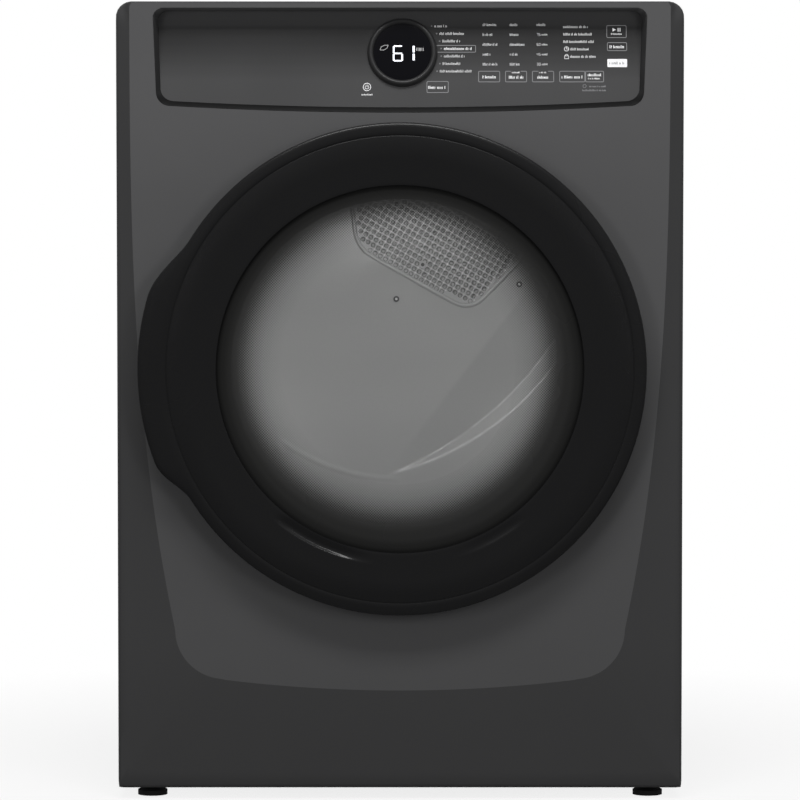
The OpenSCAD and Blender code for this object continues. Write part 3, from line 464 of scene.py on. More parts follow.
def build_panel():
    centre = (0.0, 0.52)
    outer, inner = cabinet_outline(), shield_outline()
    steps = 720
    roll = [0.0, 0.4, 1.2, 2.6, 4.6, 7.0]
    share = [0.12, 0.3, 0.5, 0.7, 0.86, 1.0]
    depth = Y_SIDE - Y_FACE
    points, rim = [], []
    columns = len(roll) + len(share)
    for i in range(steps):
        a = 2 * math.pi * i / steps
        r_out = reach(outer, centre, a)
        r_in = min(reach(inner, centre, a), r_out - 3 * MM)
        gap = r_out - r_in
        shrink = min(1.0, gap / (16 * MM))
        width = roll[-1] * MM * shrink
        drop = min(10 * MM, 0.55 * gap * smooth_step(gap / (12 * MM)))
        y_edge = Y_FACE + drop
        for k in roll:
            t = k / roll[-1]
            fall = 1 - math.sqrt(max(0.0, 1 - (1 - t) ** 2))
            r = r_out - k * MM * shrink
            points.append((r, a, y_edge + (depth - drop) * fall))
        for s in share:
            r = (r_out - width) + (r_in - r_out + width) * s
            points.append((r, a, y_edge + (Y_FACE - y_edge) * s))
        rim.append((centre[0] + r_in * math.cos(a), centre[1] + r_in * math.sin(a)))
    world = [(centre[0] + r * math.cos(a), y, centre[1] + r * math.sin(a)) for r, a, y in points]
    faces = [tuple(reversed(f)) for f in grid_faces(steps, columns, True, False)]
    # the sheet is 1 mm thick, inwards from its skin
    band = piece("panel_band", world, faces, SHADED_BAND_PAINT, "cabinet", "cabinet_paint",
                 ["front_panel"])
    skin = band.modifiers.new("sheet", "SOLIDIFY")
    skin.thickness = 1 * MM
    skin.offset = -1.0
    split = band.modifiers.new("crisp rims", "EDGE_SPLIT")
    split.split_angle = math.radians(35)
    hole = circle(0.0, DOOR_Z, PANEL_HOLE, 180)
    fill_outlines("panel_face", [rim, hole, console_outline()],
                  lambda u, v, out: (u, Y_FACE - out, v), 1 * MM, PAINT, "cabinet")


build_panel()


# ---------------------------------------------------------------- console
def on_console(u, up, out):
    """A point of the tilted console face: across, up the slope from its low edge, and outwards."""
    return (u,
            CONSOLE_Y + up * math.sin(TILT) - out * math.cos(TILT),
            CONSOLE_LOW + up * math.cos(TILT) + out * math.sin(TILT))


def slope_of(z):
    return (z - CONSOLE_LOW) / math.cos(TILT)


def build_console():
    outline = console_outline()
    low = min(z for _, z in outline)
    side, bottom, top = 5.0 * MM, 6.4 * MM, 3.2 * MM

    def inset(x, z, t):
        kx = (CONSOLE_HALF - side * t) / CONSOLE_HALF
        lift = (z - low) / (CONSOLE_TOP - low)
        return x * kx, z + (bottom * (1 - lift) - top * lift) * t

    def plane_y(z):
        return CONSOLE_Y + (z - CONSOLE_LOW) * math.tan(TILT)

    rows = []
    stages = [(0.0, 0.0, 0.6), (0.02, 0.0, 0.0), (0.08, 0.01, -0.2), (0.2, 0.06, 0.0),
              (0.9, 0.93, 0.0), (1.0, 1.0, 0.2), (1.05, 1.0, 2.0)]
    for t, sink, extra in stages:
        row = []
        for x, z in outline:
            u, v = inset(x, z, t)
            y = Y_FACE + (plane_y(v) - Y_FACE) * sink + extra * MM
            row.append((u, y, v))
        rows.append(row)
    wide = [inset(x, z, 1.05) for x, z in outline]
    for ends in (wide, outline):
        rows.append([(x, Y_FACE + CONSOLE_BACK, z) for x, z in ends])
    points = [p for row in rows for p in row]
    faces = grid_faces(len(rows), len(outline), True, True)
    bezel = piece("console_bezel", points, faces, CONSOLE_EDGE, "cabinet", "console_trim",
                  ["console_housing"])
    fix_normals(bezel)
    crease(bezel, 35)
    face = [inset(x, z, 1.02) for x, z in outline]
    fill_outlines("console_face", [[(u, slope_of(v)) for u, v in face]], on_console, 1.5 * MM,
                  FILM, "cabinet", ["console_fascia"])


def turned_on_console(name, profile, mat, slot, replaces):
    """Turns a profile [(radius, out)] round the display's middle, square to the console."""
    steps, up = 144, slope_of(DISPLAY_Z)
    points = []
    for i in range(steps):
        a = 2 * math.pi * i / steps
        for r, out in profile:
            points.append(on_console(DISPLAY_X + r * math.cos(a), up + r * math.sin(a), out))
    obj = piece(name, points, grid_faces(steps, len(profile), True, True), mat, "cabinet", slot,
                replaces)
    fix_normals(obj)
    crease(obj, 35)


def build_display():
    r, w = DISPLAY_R, 7 * MM
    profile = [(r - 0.4 * MM, -0.5 * MM), (r - 0.4 * MM, 4.6 * MM), (r + 0.2 * MM, 5.6 * MM),
               (r + 1.2 * MM, 6.6 * MM), (r + 2.4 * MM, 7.1 * MM), (r + 3.6 * MM, 7.0 * MM),
               (r + 4.8 * MM, 6.3 * MM), (r + 5.9 * MM, 4.8 * MM), (r + 6.6 * MM, 2.8 * MM),
               (r + w, 0.6 * MM), (r + w, -0.5 * MM)]
    turned_on_console("display_bezel", profile, DISPLAY_RING, "ring_metal", ["display_ring"])
    domed = [(0.0, 0.0), (0.0, 5.1 * MM)]
    domed += [(r * 0.97 * t, (5.1 - 0.7 * t * t) * MM) for t in (0.15, 0.3, 0.5, 0.7, 0.85, 0.95)]
    domed += [(r - 0.5 * MM, 4.2 * MM), (r - 0.5 * MM, 0.0)]
    turned_on_console("display_dome", domed, DISPLAY_BLACK, "display_black", ["display_lens"])


# Seven segments of a numeral, as (low corner, high corner) in units of the numeral's width, and
# the segments of each numeral that is printed
SEGMENT_TALL = 1.86
SEGMENTS = {
    "a": ((0.10, 1.70), (0.90, 1.86)), "g": ((0.10, 0.85), (0.90, 1.01)),
    "d": ((0.10, 0.0), (0.90, 0.16)), "f": ((0.0, 0.99), (0.16, 1.76)),
    "b": ((0.84, 0.99), (1.0, 1.76)), "e": ((0.0, 0.10), (0.16, 0.87)),
    "c": ((0.84, 0.10), (1.0, 0.87)),
}
NUMERALS = {"0": "abcdef", "3": "abgcd", "4": "fgbc", "5": "afgcd", "6": "afgedc", "7": "abc"}


class Print:
    """Thin printed marks gathered into one mesh on the tilted console face."""

    def __init__(self, out):
        self.points, self.faces, self.out = [], [], out

    def shape(self, corners):
        start = len(self.points)
        for u, z in corners:
            self.points.append(on_console(u * MM, slope_of(z * MM), self.out))
        self.faces.append(list(range(start, start + len(corners))))

    def bar(self, u0, z0, u1, z1):
        self.shape([(u0, z0), (u1, z0), (u1, z1), (u0, z1)])

    def ring(self, u, z, r, w, a0=0, a1=360, steps=28):
        turn = [math.radians(a0 + (a1 - a0) * i / steps) for i in range(steps + 1)]
        for a, b in zip(turn, turn[1:]):
            self.shape([(u + r * math.cos(a), z + r * math.sin(a)),
                        (u + r * math.cos(b), z + r * math.sin(b)),
                        (u + (r - w) * math.cos(b), z + (r - w) * math.sin(b)),
                        (u + (r - w) * math.cos(a), z + (r - w) * math.sin(a))])

    def frame(self, u, z, w, h, line=0.75, gap=None, r=1.7):
        """An outlined key; gap is the stretch of the top line left open for a small legend."""
        x0, x1, z0, z1 = u - w / 2, u + w / 2, z - h / 2, z + h / 2
        self.bar(x0 + r, z0, x1 - r, z0 + line)
        if gap:
            self.bar(x0 + r, z1 - line, gap[0], z1)
            self.bar(gap[1], z1 - line, x1 - r, z1)
        else:
            self.bar(x0 + r, z1 - line, x1 - r, z1)
        self.bar(x0, z0 + r, x0 + line, z1 - r)
        self.bar(x1 - line, z0 + r, x1, z1 - r)
        for cx, cz, a0 in ((x1 - r, z1 - r, 0), (x0 + r, z1 - r, 90), (x0 + r, z0 + r, 180),
                           (x1 - r, z0 + r, 270)):
            self.ring(cx, cz, r, line, a0, a0 + 90, 5)

    def ticks(self, u0, z, width, height=3.2, seed=1, stroke=0.45, pitch=1.2):
        """A row of short strokes that stands for a printed legend without being letters."""
        x, k, low = u0, seed, z - height / 2
        while x < u0 + width - stroke:
            k = (k * 37 + 11) % 101
            tall = height * (0.72 if k % 3 else 1.0)
            self.bar(x, low, x + stroke, low + tall)
            if k % 4 == 1 and x + pitch < u0 + width - stroke:
                mid = low + height * (0.34 if k % 8 == 1 else 0.62)
                self.bar(x + stroke, mid - stroke * 0.4, x + pitch, mid + stroke * 0.4)
            x += pitch * (2.0 if k % 7 == 0 else 1.0)

    def numeral(self, text, u, z, w, h):
        tall = h / SEGMENT_TALL
        for ch in text:
            for s in NUMERALS[ch]:
                (a, b), (c, d) = SEGMENTS[s]
                self.bar(u + a * w, z + b * tall, u + c * w, z + d * tall)
            u += w * 1.45

    def make(self, name, mat, slot):
        piece(name, self.points, self.faces, mat, "cabinet", slot, smooth=False)


build_console()
build_display()


def build_display_marks():
    digits = Print(5.25 * MM)
    digits.numeral("6", -8.6, 892.7, 12.2, 19.3)
    digits.bar(15.2, 894.0, 17.7, 902.0)
    digits.bar(15.2, 903.6, 17.7, 911.4)
    digits.make("display_digits", DIGITS, "display_black")
    small = Print(5.2 * MM)
    for x, w in ((19.7, 0.8), (21.5, 0.8), (23.3, 1.6), (25.9, 0.8), (27.6, 0.8)):
        small.bar(x, 905.3, x + w, 909.1)
    leaf = [(-24.1, 906.6), (-22.6, 910.4), (-18.6, 912.2), (-14.1, 912.4), (-15.8, 908.6),
            (-19.6, 906.4)]
    for a, b in zip(leaf, leaf[1:] + leaf[:1]):
        across, up = b[0] - a[0], b[1] - a[1]
        length = math.hypot(across, up)
        nx, nz = -up / length * 0.3, across / length * 0.3
        small.shape([(a[0] - nx, a[1] - nz), (b[0] - nx, b[1] - nz), (b[0] + nx, b[1] + nz),
                     (a[0] + nx, a[1] + nz)])
    small.make("display_icons", DIGITS_DIM, "display_black")


# Outlined keys: centre x and z, width, height, stretch of the top line left open
KEYS = [
    (107.4, 875.6, 26.2, 13.6, None), (139.8, 875.6, 26.2, 13.6, (133.8, 145.4)),
    (172.3, 875.6, 26.4, 13.6, (166.8, 178.4)), (207.5, 875.6, 31.0, 13.6, None),
    (234.4, 875.6, 22.4, 13.6, None), (45.3, 863.0, 26.4, 14.1, None),
]
# Main legends on the keys: left end, width, middle height, stroke height
KEY_LEGENDS = [
    (99.4, 16.2, 875.1, 3.6), (131.1, 17.7, 874.8, 3.6), (165.5, 13.7, 874.8, 3.6),
    (194.7, 27.1, 875.1, 3.6), (226.2, 15.9, 877.6, 3.4), (252.7, 17.4, 911.6, 3.6),
    (34.1, 21.4, 862.5, 3.6),
]
SMALL_LEGENDS = [
    (134.8, 9.6, 880.6), (167.8, 9.6, 880.6), (226.6, 14.8, 873.2), (254.6, 13.3, 927.2),
    (-46.1, 13.7, 853.8),
]
CYCLE_WIDTHS = [15.0, 30.0, 21.0, 34.0, 25.0, 22.0, 40.0]
COLUMN_WIDTHS = [(99.8, [17.0, 11.5, 17.3, 9.6, 18.0]), (132.5, [9.2, 10.3, 17.4, 9.3, 12.3])]
MINUTES = ["75", "60", "45", "30"]
OPTION_WIDTHS = [30.4, 34.4, 36.8, 22.4, 31.5]


def build_marks():
    ink, outline = Print(0.12 * MM), Print(0.10 * MM)
    for u, z, w, h, gap in KEYS:
        outline.frame(u, z, w, h, gap=gap)
    outline.frame(261.2, 930.0, 24.2, 15.3)
    outline.frame(261.7, 911.8, 24.0, 10.4)
    for n, (u, w, z, h) in enumerate(KEY_LEGENDS):
        ink.ticks(u, z, w, h, seed=n * 7 + 3, stroke=0.8, pitch=1.5)
    for n, (u, w, z) in enumerate(SMALL_LEGENDS):
        ink.ticks(u, z, w, 2.0, seed=n * 11 + 5, stroke=0.5, pitch=0.95)
    # play and pause sign above the small legend of the start key
    ink.shape([(256.4, 930.0), (260.6, 932.2), (256.4, 934.4)])
    ink.bar(262.6, 930.0, 263.7, 934.4)
    ink.bar(264.9, 930.0, 266.0, 934.4)
    # the filled key, its legend knocked out in a darker tone
    ink.shape([(249.9, 887.6), (250.6, 887.0), (273.0, 887.0), (273.7, 887.6), (273.7, 896.2),
               (273.0, 896.8), (250.6, 896.8), (249.9, 896.2)])
    # cycle names fan out along the display collar
    for n, w in enumerate(CYCLE_WIDTHS):
        z = 936.7 - 9.1 * n
        u = 3.0 + math.sqrt(50.3 ** 2 - (z - 904.4) ** 2)
        bold = n == 3
        ink.ticks(u, z, w, 3.4 if bold else 3.2, seed=13 + n * 5, stroke=0.7 if bold else 0.45,
                  pitch=1.3 if bold else 1.2)
        outline.ring(u - 3.4, z, 0.9, 0.5, steps=10)
    outline.frame(67.5, 909.15, 48.0, 8.9, r=1.4)
    for n in range(5):
        z = 938.3 - 11.95 * n
        for u, widths in COLUMN_WIDTHS:
            ink.ticks(u, z, widths[n], seed=int(u) + n * 3)
        if n:
            ink.numeral(MINUTES[n - 1], 165.0, z - 1.6, 1.75, 3.2)
            ink.ticks(171.0, z, 7.4, 2.4, seed=n + 4)
        else:
            ink.ticks(165.0, z, 10.8, seed=6)
    for n, w in enumerate(OPTION_WIDTHS):
        ink.ticks(197.0 if n < 3 else 205.2, 935.8 - 9.0 * n, w, seed=29 + n * 7)
    # a clock and a lock beside the last two options
    ink.ring(200.8, 909.0, 2.9, 0.6)
    ink.bar(200.5, 908.9, 201.1, 911.2)
    ink.bar(200.5, 908.6, 202.6, 909.2)
    ink.frame(200.8, 898.9, 5.4, 4.0, line=0.55, r=0.6)
    ink.ring(200.8, 900.8, 1.9, 0.55, 0, 180, 12)
    outline.ticks(228.0, 863.8, 19.9, 2.2, seed=41, stroke=0.5, pitch=0.95)
    outline.ticks(219.5, 859.0, 28.4, 2.2, seed=47, stroke=0.5, pitch=0.95)
    outline.ring(222.2, 864.1, 2.2, 0.5)
    # power sign: a ring round a smaller ring that is open at the top, with a stroke
    ink.ring(-39.7, 863.0, 4.9, 0.75)
    ink.ring(-39.7, 862.8, 2.5, 0.6, 120, 420, 24)
    ink.bar(-40.05, 862.8, -39.35, 866.0)
    ink.make("console_marks", INK, "console_film")
    outline.make("console_outlines", INK_DIM, "console_film")
    sign = Print(0.2 * MM)
    sign.ticks(252.4, 891.9, 18.6, 3.4, seed=19, stroke=0.7, pitch=1.3)
    sign.make("filled_key_legend", INK_SHADOW, "console_film")


build_display_marks()
build_marks()


# ---------------------------------------------------------------- door
def handle_bump(d):
    """Swelling of the rim at the handle, 0 to 1; d is degrees up from the left."""
    return 1 - smooth_step((d - 16) / 16) if d > 0 else 1 - smooth_step((-d - 21) / 11)


def crescent_share(a):
    """How deep the recess under the window is at an angle, from 0 to 1."""
    d = math.degrees(a) % 360
    left = smooth_step((d - 229) / 6) * smooth_step((264 - d) / 16)
    right = smooth_step((d - 284) / 16) * smooth_step((311 - d) / 6)
    return max(left, 0.45 * right)


def scooped_radius(a):
    """Radius of the door's back edge: round, and cut away for the fingers on the left."""
    cx, r = -365 * MM, 95 * MM
    along = cx * math.cos(a)
    off = abs(cx * math.sin(a))
    if along > 0 and off < r:
        return min(DOOR_R, along - math.sqrt(r * r - off * off))
    return DOOR_R


def ring_profile(a):
    d = 180 - math.degrees(a) % 360
    bump = handle_bump(d)
    rim = DOOR_R + HANDLE_OUT * bump
    dip = crescent_share(a)
    y = Y_DOOR
    seam_in, seam_out = SEAM_R - 0.7 * MM, SEAM_R + 0.7 * MM
    back = scooped_radius(a)
    if min(a, 2 * math.pi - a) < HINGE_NOTCH:
        back = min(back, (DOOR_R - 15 * MM) / max(0.3, math.cos(a)))
    w = WINDOW_R
    groove = [(2.0, 0.1), (4.5, 0.4), (8.0, 0.85), (11.0, 1.0), (13.2, 0.7), (14.6, 0.2), (15.6, 0.0)]

    def dished(r):
        """The face of the ring falls gently from the seam to the window."""
        return y + DISH * (seam_in - r) / (seam_in - w)

    rows = [(w - LEDGE, Y_DOOR + 13 * MM), (w - LEDGE, Y_DOOR + 7.2 * MM),
            (w + 0.1 * MM, Y_DOOR + 7.0 * MM), (w + 0.3 * MM, dished(w) + 0.9 * MM),
            (w + 0.6 * MM, dished(w) + 0.2 * MM)]
    rows += [(w + k * MM, dished(w + k * MM) + 3.0 * MM * g * dip) for k, g in groove]
    rows += [(r, dished(r)) for r in (w + 17 * MM, w + 34 * MM, seam_in - 0.5 * MM)]
    rows += [(seam_in, y + 0.25 * MM), (seam_in + 0.15 * MM, y + 0.9 * MM),
             (seam_out - 0.15 * MM, y + 0.9 * MM), (seam_out, y + 0.3 * MM),
             (seam_out + 0.5 * MM, y + 0.1 * MM)]
    start = seam_out + 0.5 * MM
    for t, fall in ((0.3, 0.35), (0.6, 0.95), (0.82, 1.6), (0.93, 2.4), (0.975, 3.4), (0.995, 5.0),
                    (1.0, 7.0)):
        rows.append((start + (rim - start) * t, y + fall * MM))
    rows += [(rim, HANDLE_Y - 2.5 * MM), (rim - 1.0 * MM, HANDLE_Y - 0.8 * MM),
             (rim - 3.0 * MM, HANDLE_Y)]
    rows += [(min(back, rim - 3.2 * MM), HANDLE_Y + 0.05 * MM), (back - 0.6 * MM, HANDLE_Y + 1.2 * MM),
             (back - 0.6 * MM, Y_DOOR_BACK - 0.8 * MM), (back - 1.6 * MM, Y_DOOR_BACK)]
    rows += [(w + 4 * MM, Y_DOOR_BACK), (w + 4 * MM, Y_DOOR_BACK - 5 * MM),
             (w - LEDGE, Y_DOOR_BACK - 5 * MM)]
    return rows


def build_ring():
    steps = 540
    angles = [2 * math.pi * i / steps for i in range(steps)]
    points = swept(ring_profile, angles, 0.0, DOOR_Z)
    faces = grid_faces(steps, len(ring_profile(0.0)), True, True)
    ring = piece("door_front", points, faces, DOOR_BLACK, "door", "door_gloss",
                 ["door_ring"])
    fix_normals(ring)
    crease(ring, 38)
    seam = [(SEAM_R + across * MM, Y_DOOR + sunk * MM) for across, sunk in
            ((-0.55, 0.95), (-0.55, 0.45), (-0.2, 0.25), (0.2, 0.25), (0.55, 0.45), (0.55, 0.95))]
    turned("door_seam_line", seam, 0.0, DOOR_Z, SEAM, "door", "trim_metal", ["door_trim"], 360)


def print_fade(mat, centre, stops, pitch):
    """Lets a printed border fade out towards the middle, through a fine screen of dots."""
    nodes, links = mat.node_tree.nodes, mat.node_tree.links
    place = nodes.new("ShaderNodeTexCoord")
    offset, away = distance_from(nodes, links, place, centre)
    share = grey_ramp(nodes, links, away, stops, "LINEAR")

    def maths(kind, first, second):
        node = nodes.new("ShaderNodeMath")
        node.operation = kind
        for slot_number, value in enumerate((first, second)):
            if isinstance(value, float):
                node.inputs[slot_number].default_value = value
            elif value is not None:
                links.new(value, node.inputs[slot_number])
        return node.outputs[0]

    split = nodes.new("ShaderNodeSeparateXYZ")
    links.new(offset, split.inputs["Vector"])
    turn = 2 * math.pi / pitch
    wave_x = maths("COSINE", maths("MULTIPLY", split.outputs["X"], turn), None)
    wave_z = maths("COSINE", maths("MULTIPLY", split.outputs["Z"], turn), None)
    screen = maths("MULTIPLY", wave_x, wave_z)
    swing = maths("MULTIPLY", share, maths("SUBTRACT", 1.0, share))
    dots = maths("MULTIPLY", swing, screen)
    whole = nodes.new("ShaderNodeMath")
    whole.operation = "ADD"
    whole.use_clamp = True
    links.new(share, whole.inputs[0])
    links.new(dots, whole.inputs[1])
    links.new(whole.outputs[0], nodes["Principled BSDF"].inputs["Alpha"])


def build_window():
    y0, back = Y_DOOR + 2.8 * MM, Y_DOOR + 6.6 * MM
    r = WINDOW_R - 0.3 * MM
    profile = [(0.0, back), (0.0, y0 - 0.8 * MM)]
    for t in (0.12, 0.25, 0.4, 0.55, 0.7, 0.82, 0.91, 0.97):
        profile.append((r * t, y0 - 0.8 * MM * (1 - t * t)))
    profile += [(r - 1.2 * MM, y0 + 0.1 * MM), (r - 0.3 * MM, y0 + 0.6 * MM), (r, y0 + 1.5 * MM),
                (r, back)]
    turned("door_pane", profile, 0.0, DOOR_Z, GLASS, "door", "window_glass", ["door_glass"], 240)
    # printed border on the back of the pane; its clear middle lies a little high and to the left
    y = back + 0.15 * MM
    centre = (-3.5 * MM, y, DOOR_Z + 7 * MM)
    print_fade(FRIT, centre, [(0.138, 0.0), (0.150, 0.07), (0.161, 0.2), (0.171, 0.42), (0.178, 0.62),
                              (0.185, 0.82), (0.192, 0.94), (0.202, 1.0)], 3.2 * MM)
    radii = [138 * MM, 160 * MM, 180 * MM, 200 * MM, WINDOW_R - 0.2 * MM]
    points = [(u, y, v) for r in radii for u, v in circle(0.0, DOOR_Z, r, 180)]
    piece("window_border", points, grid_faces(len(radii), 180, False, True), FRIT, "door",
          "display_black", smooth=False)


def build_bowl():
    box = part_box("door_bowl")
    rim, end, base = box[1].x, box[1].y, box[0].y
    clear = 182 * MM
    outer = [(rim, base), (rim, base + 3 * MM), (204 * MM, base + 3.4 * MM)]
    for t in (0.1, 0.3, 0.5, 0.7, 0.88):
        outer.append((204 * MM - (204 * MM - clear - 4 * MM) * t, base + 3.4 * MM + (end - base) * t))
    outer += [(clear + 3 * MM, end - 6 * MM), (clear, end - 2.2 * MM), (clear - 6 * MM, end - 0.4 * MM),
              (clear * 0.8, end), (clear * 0.4, end), (0.0, end)]
    inner = [(max(0.0, r - (4 * MM if r > 30 * MM else 0.0)), y - 4 * MM) for r, y in outer[3:]]
    inner = [(r, min(y, end - 4 * MM)) for r, y in inner]
    profile = outer + list(reversed(inner)) + [(199 * MM, base)]
    turned("window_bowl", profile, 0.0, DOOR_Z, BOWL, "door", "bowl_glass", ["door_bowl"], 180)


build_ring()
build_window()
build_bowl()


# ---------------------------------------------------------------- rear wall of the drum
def circle_through(a, b, c):
    (ax, ay), (bx, by), (cx, cy) = a, b, c
    d = 2 * (ax * (by - cy) + bx * (cy - ay) + cx * (ay - by))
    a2, b2, c2 = ax * ax + ay * ay, bx * bx + by * by, cx * cx + cy * cy
    ux = (a2 * (by - cy) + b2 * (cy - ay) + c2 * (ay - by)) / d
    uz = (a2 * (cx - bx) + b2 * (ax - cx) + c2 * (bx - ax)) / d
    return ux, uz, math.hypot(ax - ux, ay - uz)


# Pressed relief of the wall, in millimetres: the ridge, and the arcs that end the facet
RIDGE_A, RIDGE_B = (2.0, 376.0), (146.0, 563.0)
ARC_OUT = circle_through((201.0, 485.0), (136.0, 421.0), (30.0, 362.0))
RIB = circle_through((-160.0, 392.5), (-63.0, 349.0), (-1.0, 342.0))


def wall_relief(x, z):
    """Depth of the pressed relief at a point of the wall; positive stands towards the door."""
    height = 0.0
    rx, rz = RIDGE_B[0] - RIDGE_A[0], RIDGE_B[1] - RIDGE_A[1]
    length = math.hypot(rx, rz)
    across = ((x - RIDGE_A[0]) * rz - (z - RIDGE_A[1]) * rx) / length
    inside = ARC_OUT[2] - math.hypot(x - ARC_OUT[0], z - ARC_OUT[1])
    if across > 0 and inside > 0:
        height -= min(0.19 * across, 0.72 * inside)
    if -172 < x < 8 and z < 430:
        off = abs(math.hypot(x - RIB[0], z - RIB[1]) - RIB[2])
        fade = smooth_step((x + 172) / 14) * smooth_step((8 - x) / 30)
        height += 1.2 * fade * math.exp(-(off / 2.2) ** 2)
    spot = math.hypot((x + 165) / 5.0, (z - 384) / 9.0)
    height += 3.2 * math.exp(-spot * spot)
    dish = math.hypot(x + 4, z - 540)
    height -= 1.6 * smooth_step((110 - dish) / 50)
    return height


def inlet_hull(inset):
    """Outline of the perforated plate: the hull of its corner circles, in metres."""
    corners = [(15, -54, 36), (90, 22, 35), (35, 67, 40), (-110, 67, 35), (-91, 19, 48)]
    cloud = []
    for cx, cz, r in corners:
        cloud += [(INLET_X + x * MM, INLET_Z + z * MM) for x, z in circle(cx, cz, r - inset, 48)]
    cloud = sorted(set(cloud))

    def half(points):
        chain = []
        for p in points:
            while len(chain) > 1:
                (x0, z0), (x1, z1) = chain[-2], chain[-1]
                if (x1 - x0) * (p[1] - z0) - (z1 - z0) * (p[0] - x0) > 0:
                    break
                chain.pop()
            chain.append(p)
        return chain

    return half(cloud)[:-1] + half(list(reversed(cloud)))[:-1]


def depth_inside(outline, x, z):
    """Distance from a point to the outline, negative outside; the outline runs anticlockwise."""
    best = 1e9
    n = len(outline)
    for i in range(n):
        x0, z0 = outline[i]
        x1, z1 = outline[(i + 1) % n]
        ex, ez = x1 - x0, z1 - z0
        best = min(best, (ex * (z - z0) - ez * (x - x0)) / math.hypot(ex, ez))
    return best


def build_wall():
    front = Y_WALL
    radii = [2.5 * i for i in range(1, 92)] + [234, 242, 252, 264, 276, 290, WALL_R]
    steps = 360
    opening = inlet_hull(10)
    points = [(0.0, front - wall_relief(0, DRUM_Z / MM) * MM, DRUM_Z)]
    for r in radii:
        for x, z in circle(0.0, DRUM_Z / MM, r, steps):
            points.append((x * MM, front - wall_relief(x, z) * MM, z * MM))
    faces = [(0, 1 + i, 1 + (i + 1) % steps) for i in range(steps)]
    faces += grid_faces(len(radii), steps, False, True, 1)
    kept = []
    for f in faces:
        cx = sum(points[i][0] for i in f) / len(f)
        cz = sum(points[i][2] for i in f) / len(f)
        if depth_inside(opening, cx, cz) < 0:
            kept.append(f)
    # flat rest of the bulkhead, out to the cabinet's sides
    outline = [(wall_box[0].x, wall_box[0].z), (wall_box[1].x, wall_box[0].z),
               (wall_box[1].x, wall_box[1].z), (wall_box[0].x, wall_box[1].z)]
    edge = circle(0.0, DRUM_Z, WALL_R * MM, 180)
    fill_outlines("bulkhead_rim", [outline, edge], lambda u, v, out: (u, Y_WALL - out, v), 1.2 * MM,
                  GALVANISED, "cabinet")
    wall = piece("drum_rear_wall", points, kept, ENAMEL, "cabinet", "drum_steel",
                 ["rear_bulkhead"])
    fix_normals(wall)
    sheet = wall.modifiers.new("sheet", "SOLIDIFY")
    sheet.thickness = 1.2 * MM
    sheet.offset = -1.0


def build_inlet_plate():
    pitch, hole, margin, tilt = 8.07 * MM, 2.7 * MM, 6.8 * MM, math.radians(-30)
    start_x, start_z = INLET_X + 3 * MM, INLET_Z - 81 * MM
    rim = inlet_hull(0)
    holes = []

    def grid(i, k):
        along, up = pitch * i, pitch * k
        return (start_x + along * math.cos(tilt) - up * math.sin(tilt),
                start_z + along * math.sin(tilt) + up * math.cos(tilt))

    for i in range(-30, 31):
        for k in range(-6, 31):
            x, z = grid(i, k)
            if depth_inside(rim, x, z) > margin:
                holes.append((x, z))
    y = Y_WALL - 2.0 * MM
    fill_outlines("inlet_plate", [rim] + [circle(x, z, hole, 10) for x, z in holes],
                  lambda u, v, out: (u, y - out, v), 1.4 * MM, ENAMEL, "cabinet",
                  ["air_inlet_grille"])
    # rolled border
    points = []
    steps = len(rim)
    for i in range(steps):
        x0, z0 = rim[i - 1]
        x1, z1 = rim[(i + 1) % steps]
        nx, nz = z1 - z0, x0 - x1
        size = math.hypot(nx, nz) or 1.0
        nx, nz = nx / size, nz / size
        for off, out in ((0.6, -1.9), (0.6, 0.4), (-0.6, 1.3), (-2.4, 1.5), (-4.0, 1.1), (-5.0, 0.2)):
            points.append((rim[i][0] + nx * off * MM, y - out * MM, rim[i][1] + nz * off * MM))
    faces = grid_faces(steps, 6, True, False)
    border = piece("inlet_border", points, faces, ENAMEL, "cabinet", "drum_steel")
    crease(border, 50)
    # the duct wall close behind the plate shows through the holes
    fill_outlines("inlet_backing", [inlet_hull(4)], lambda u, v, out: (u, y + 5 * MM - out, v),
                  0.8 * MM, INLET_BACK, "cabinet")
    # a lip sunk into each hole, darker as painted shade, and a small crown between every four, bright
    # as a painted highlight
    points, faces = [], []
    for x, z in holes:
        start = len(points)
        for radius, out in ((hole - 0.5 * MM, -1.6), (hole - 0.2 * MM, -0.6), (hole, 0.1),
                            (hole + 0.45 * MM, 0.1)):
            points += [(u, y - out * MM, v) for u, v in circle(x, z, radius, 10)]
        faces += grid_faces(4, 10, False, True, start)
    piece("inlet_hole_lips", points, faces, HOLE_LIP_SHADE, "cabinet", "drum_steel")
    points, faces = [], []
    half = pitch / 2
    for x, z in holes:
        bx = x + half * math.cos(tilt) - half * math.sin(tilt)
        bz = z + half * math.sin(tilt) + half * math.cos(tilt)
        if depth_inside(rim, bx, bz) < margin:
            continue
        start = len(points)
        points.append((bx, y - 1.1 * MM, bz))
        for r, out in ((0.7, 0.9), (1.1, -0.1)):
            points += [(u, y - out * MM, v) for u, v in circle(bx, bz, r * MM, 6)]
        for q in range(6):
            p = (q + 1) % 6
            faces.append((start, start + 1 + q, start + 1 + p))
            faces.append((start + 1 + q, start + 7 + q, start + 7 + p, start + 1 + p))
    piece("inlet_bosses", points, faces, CROWN_GLINT, "cabinet", "drum_steel")


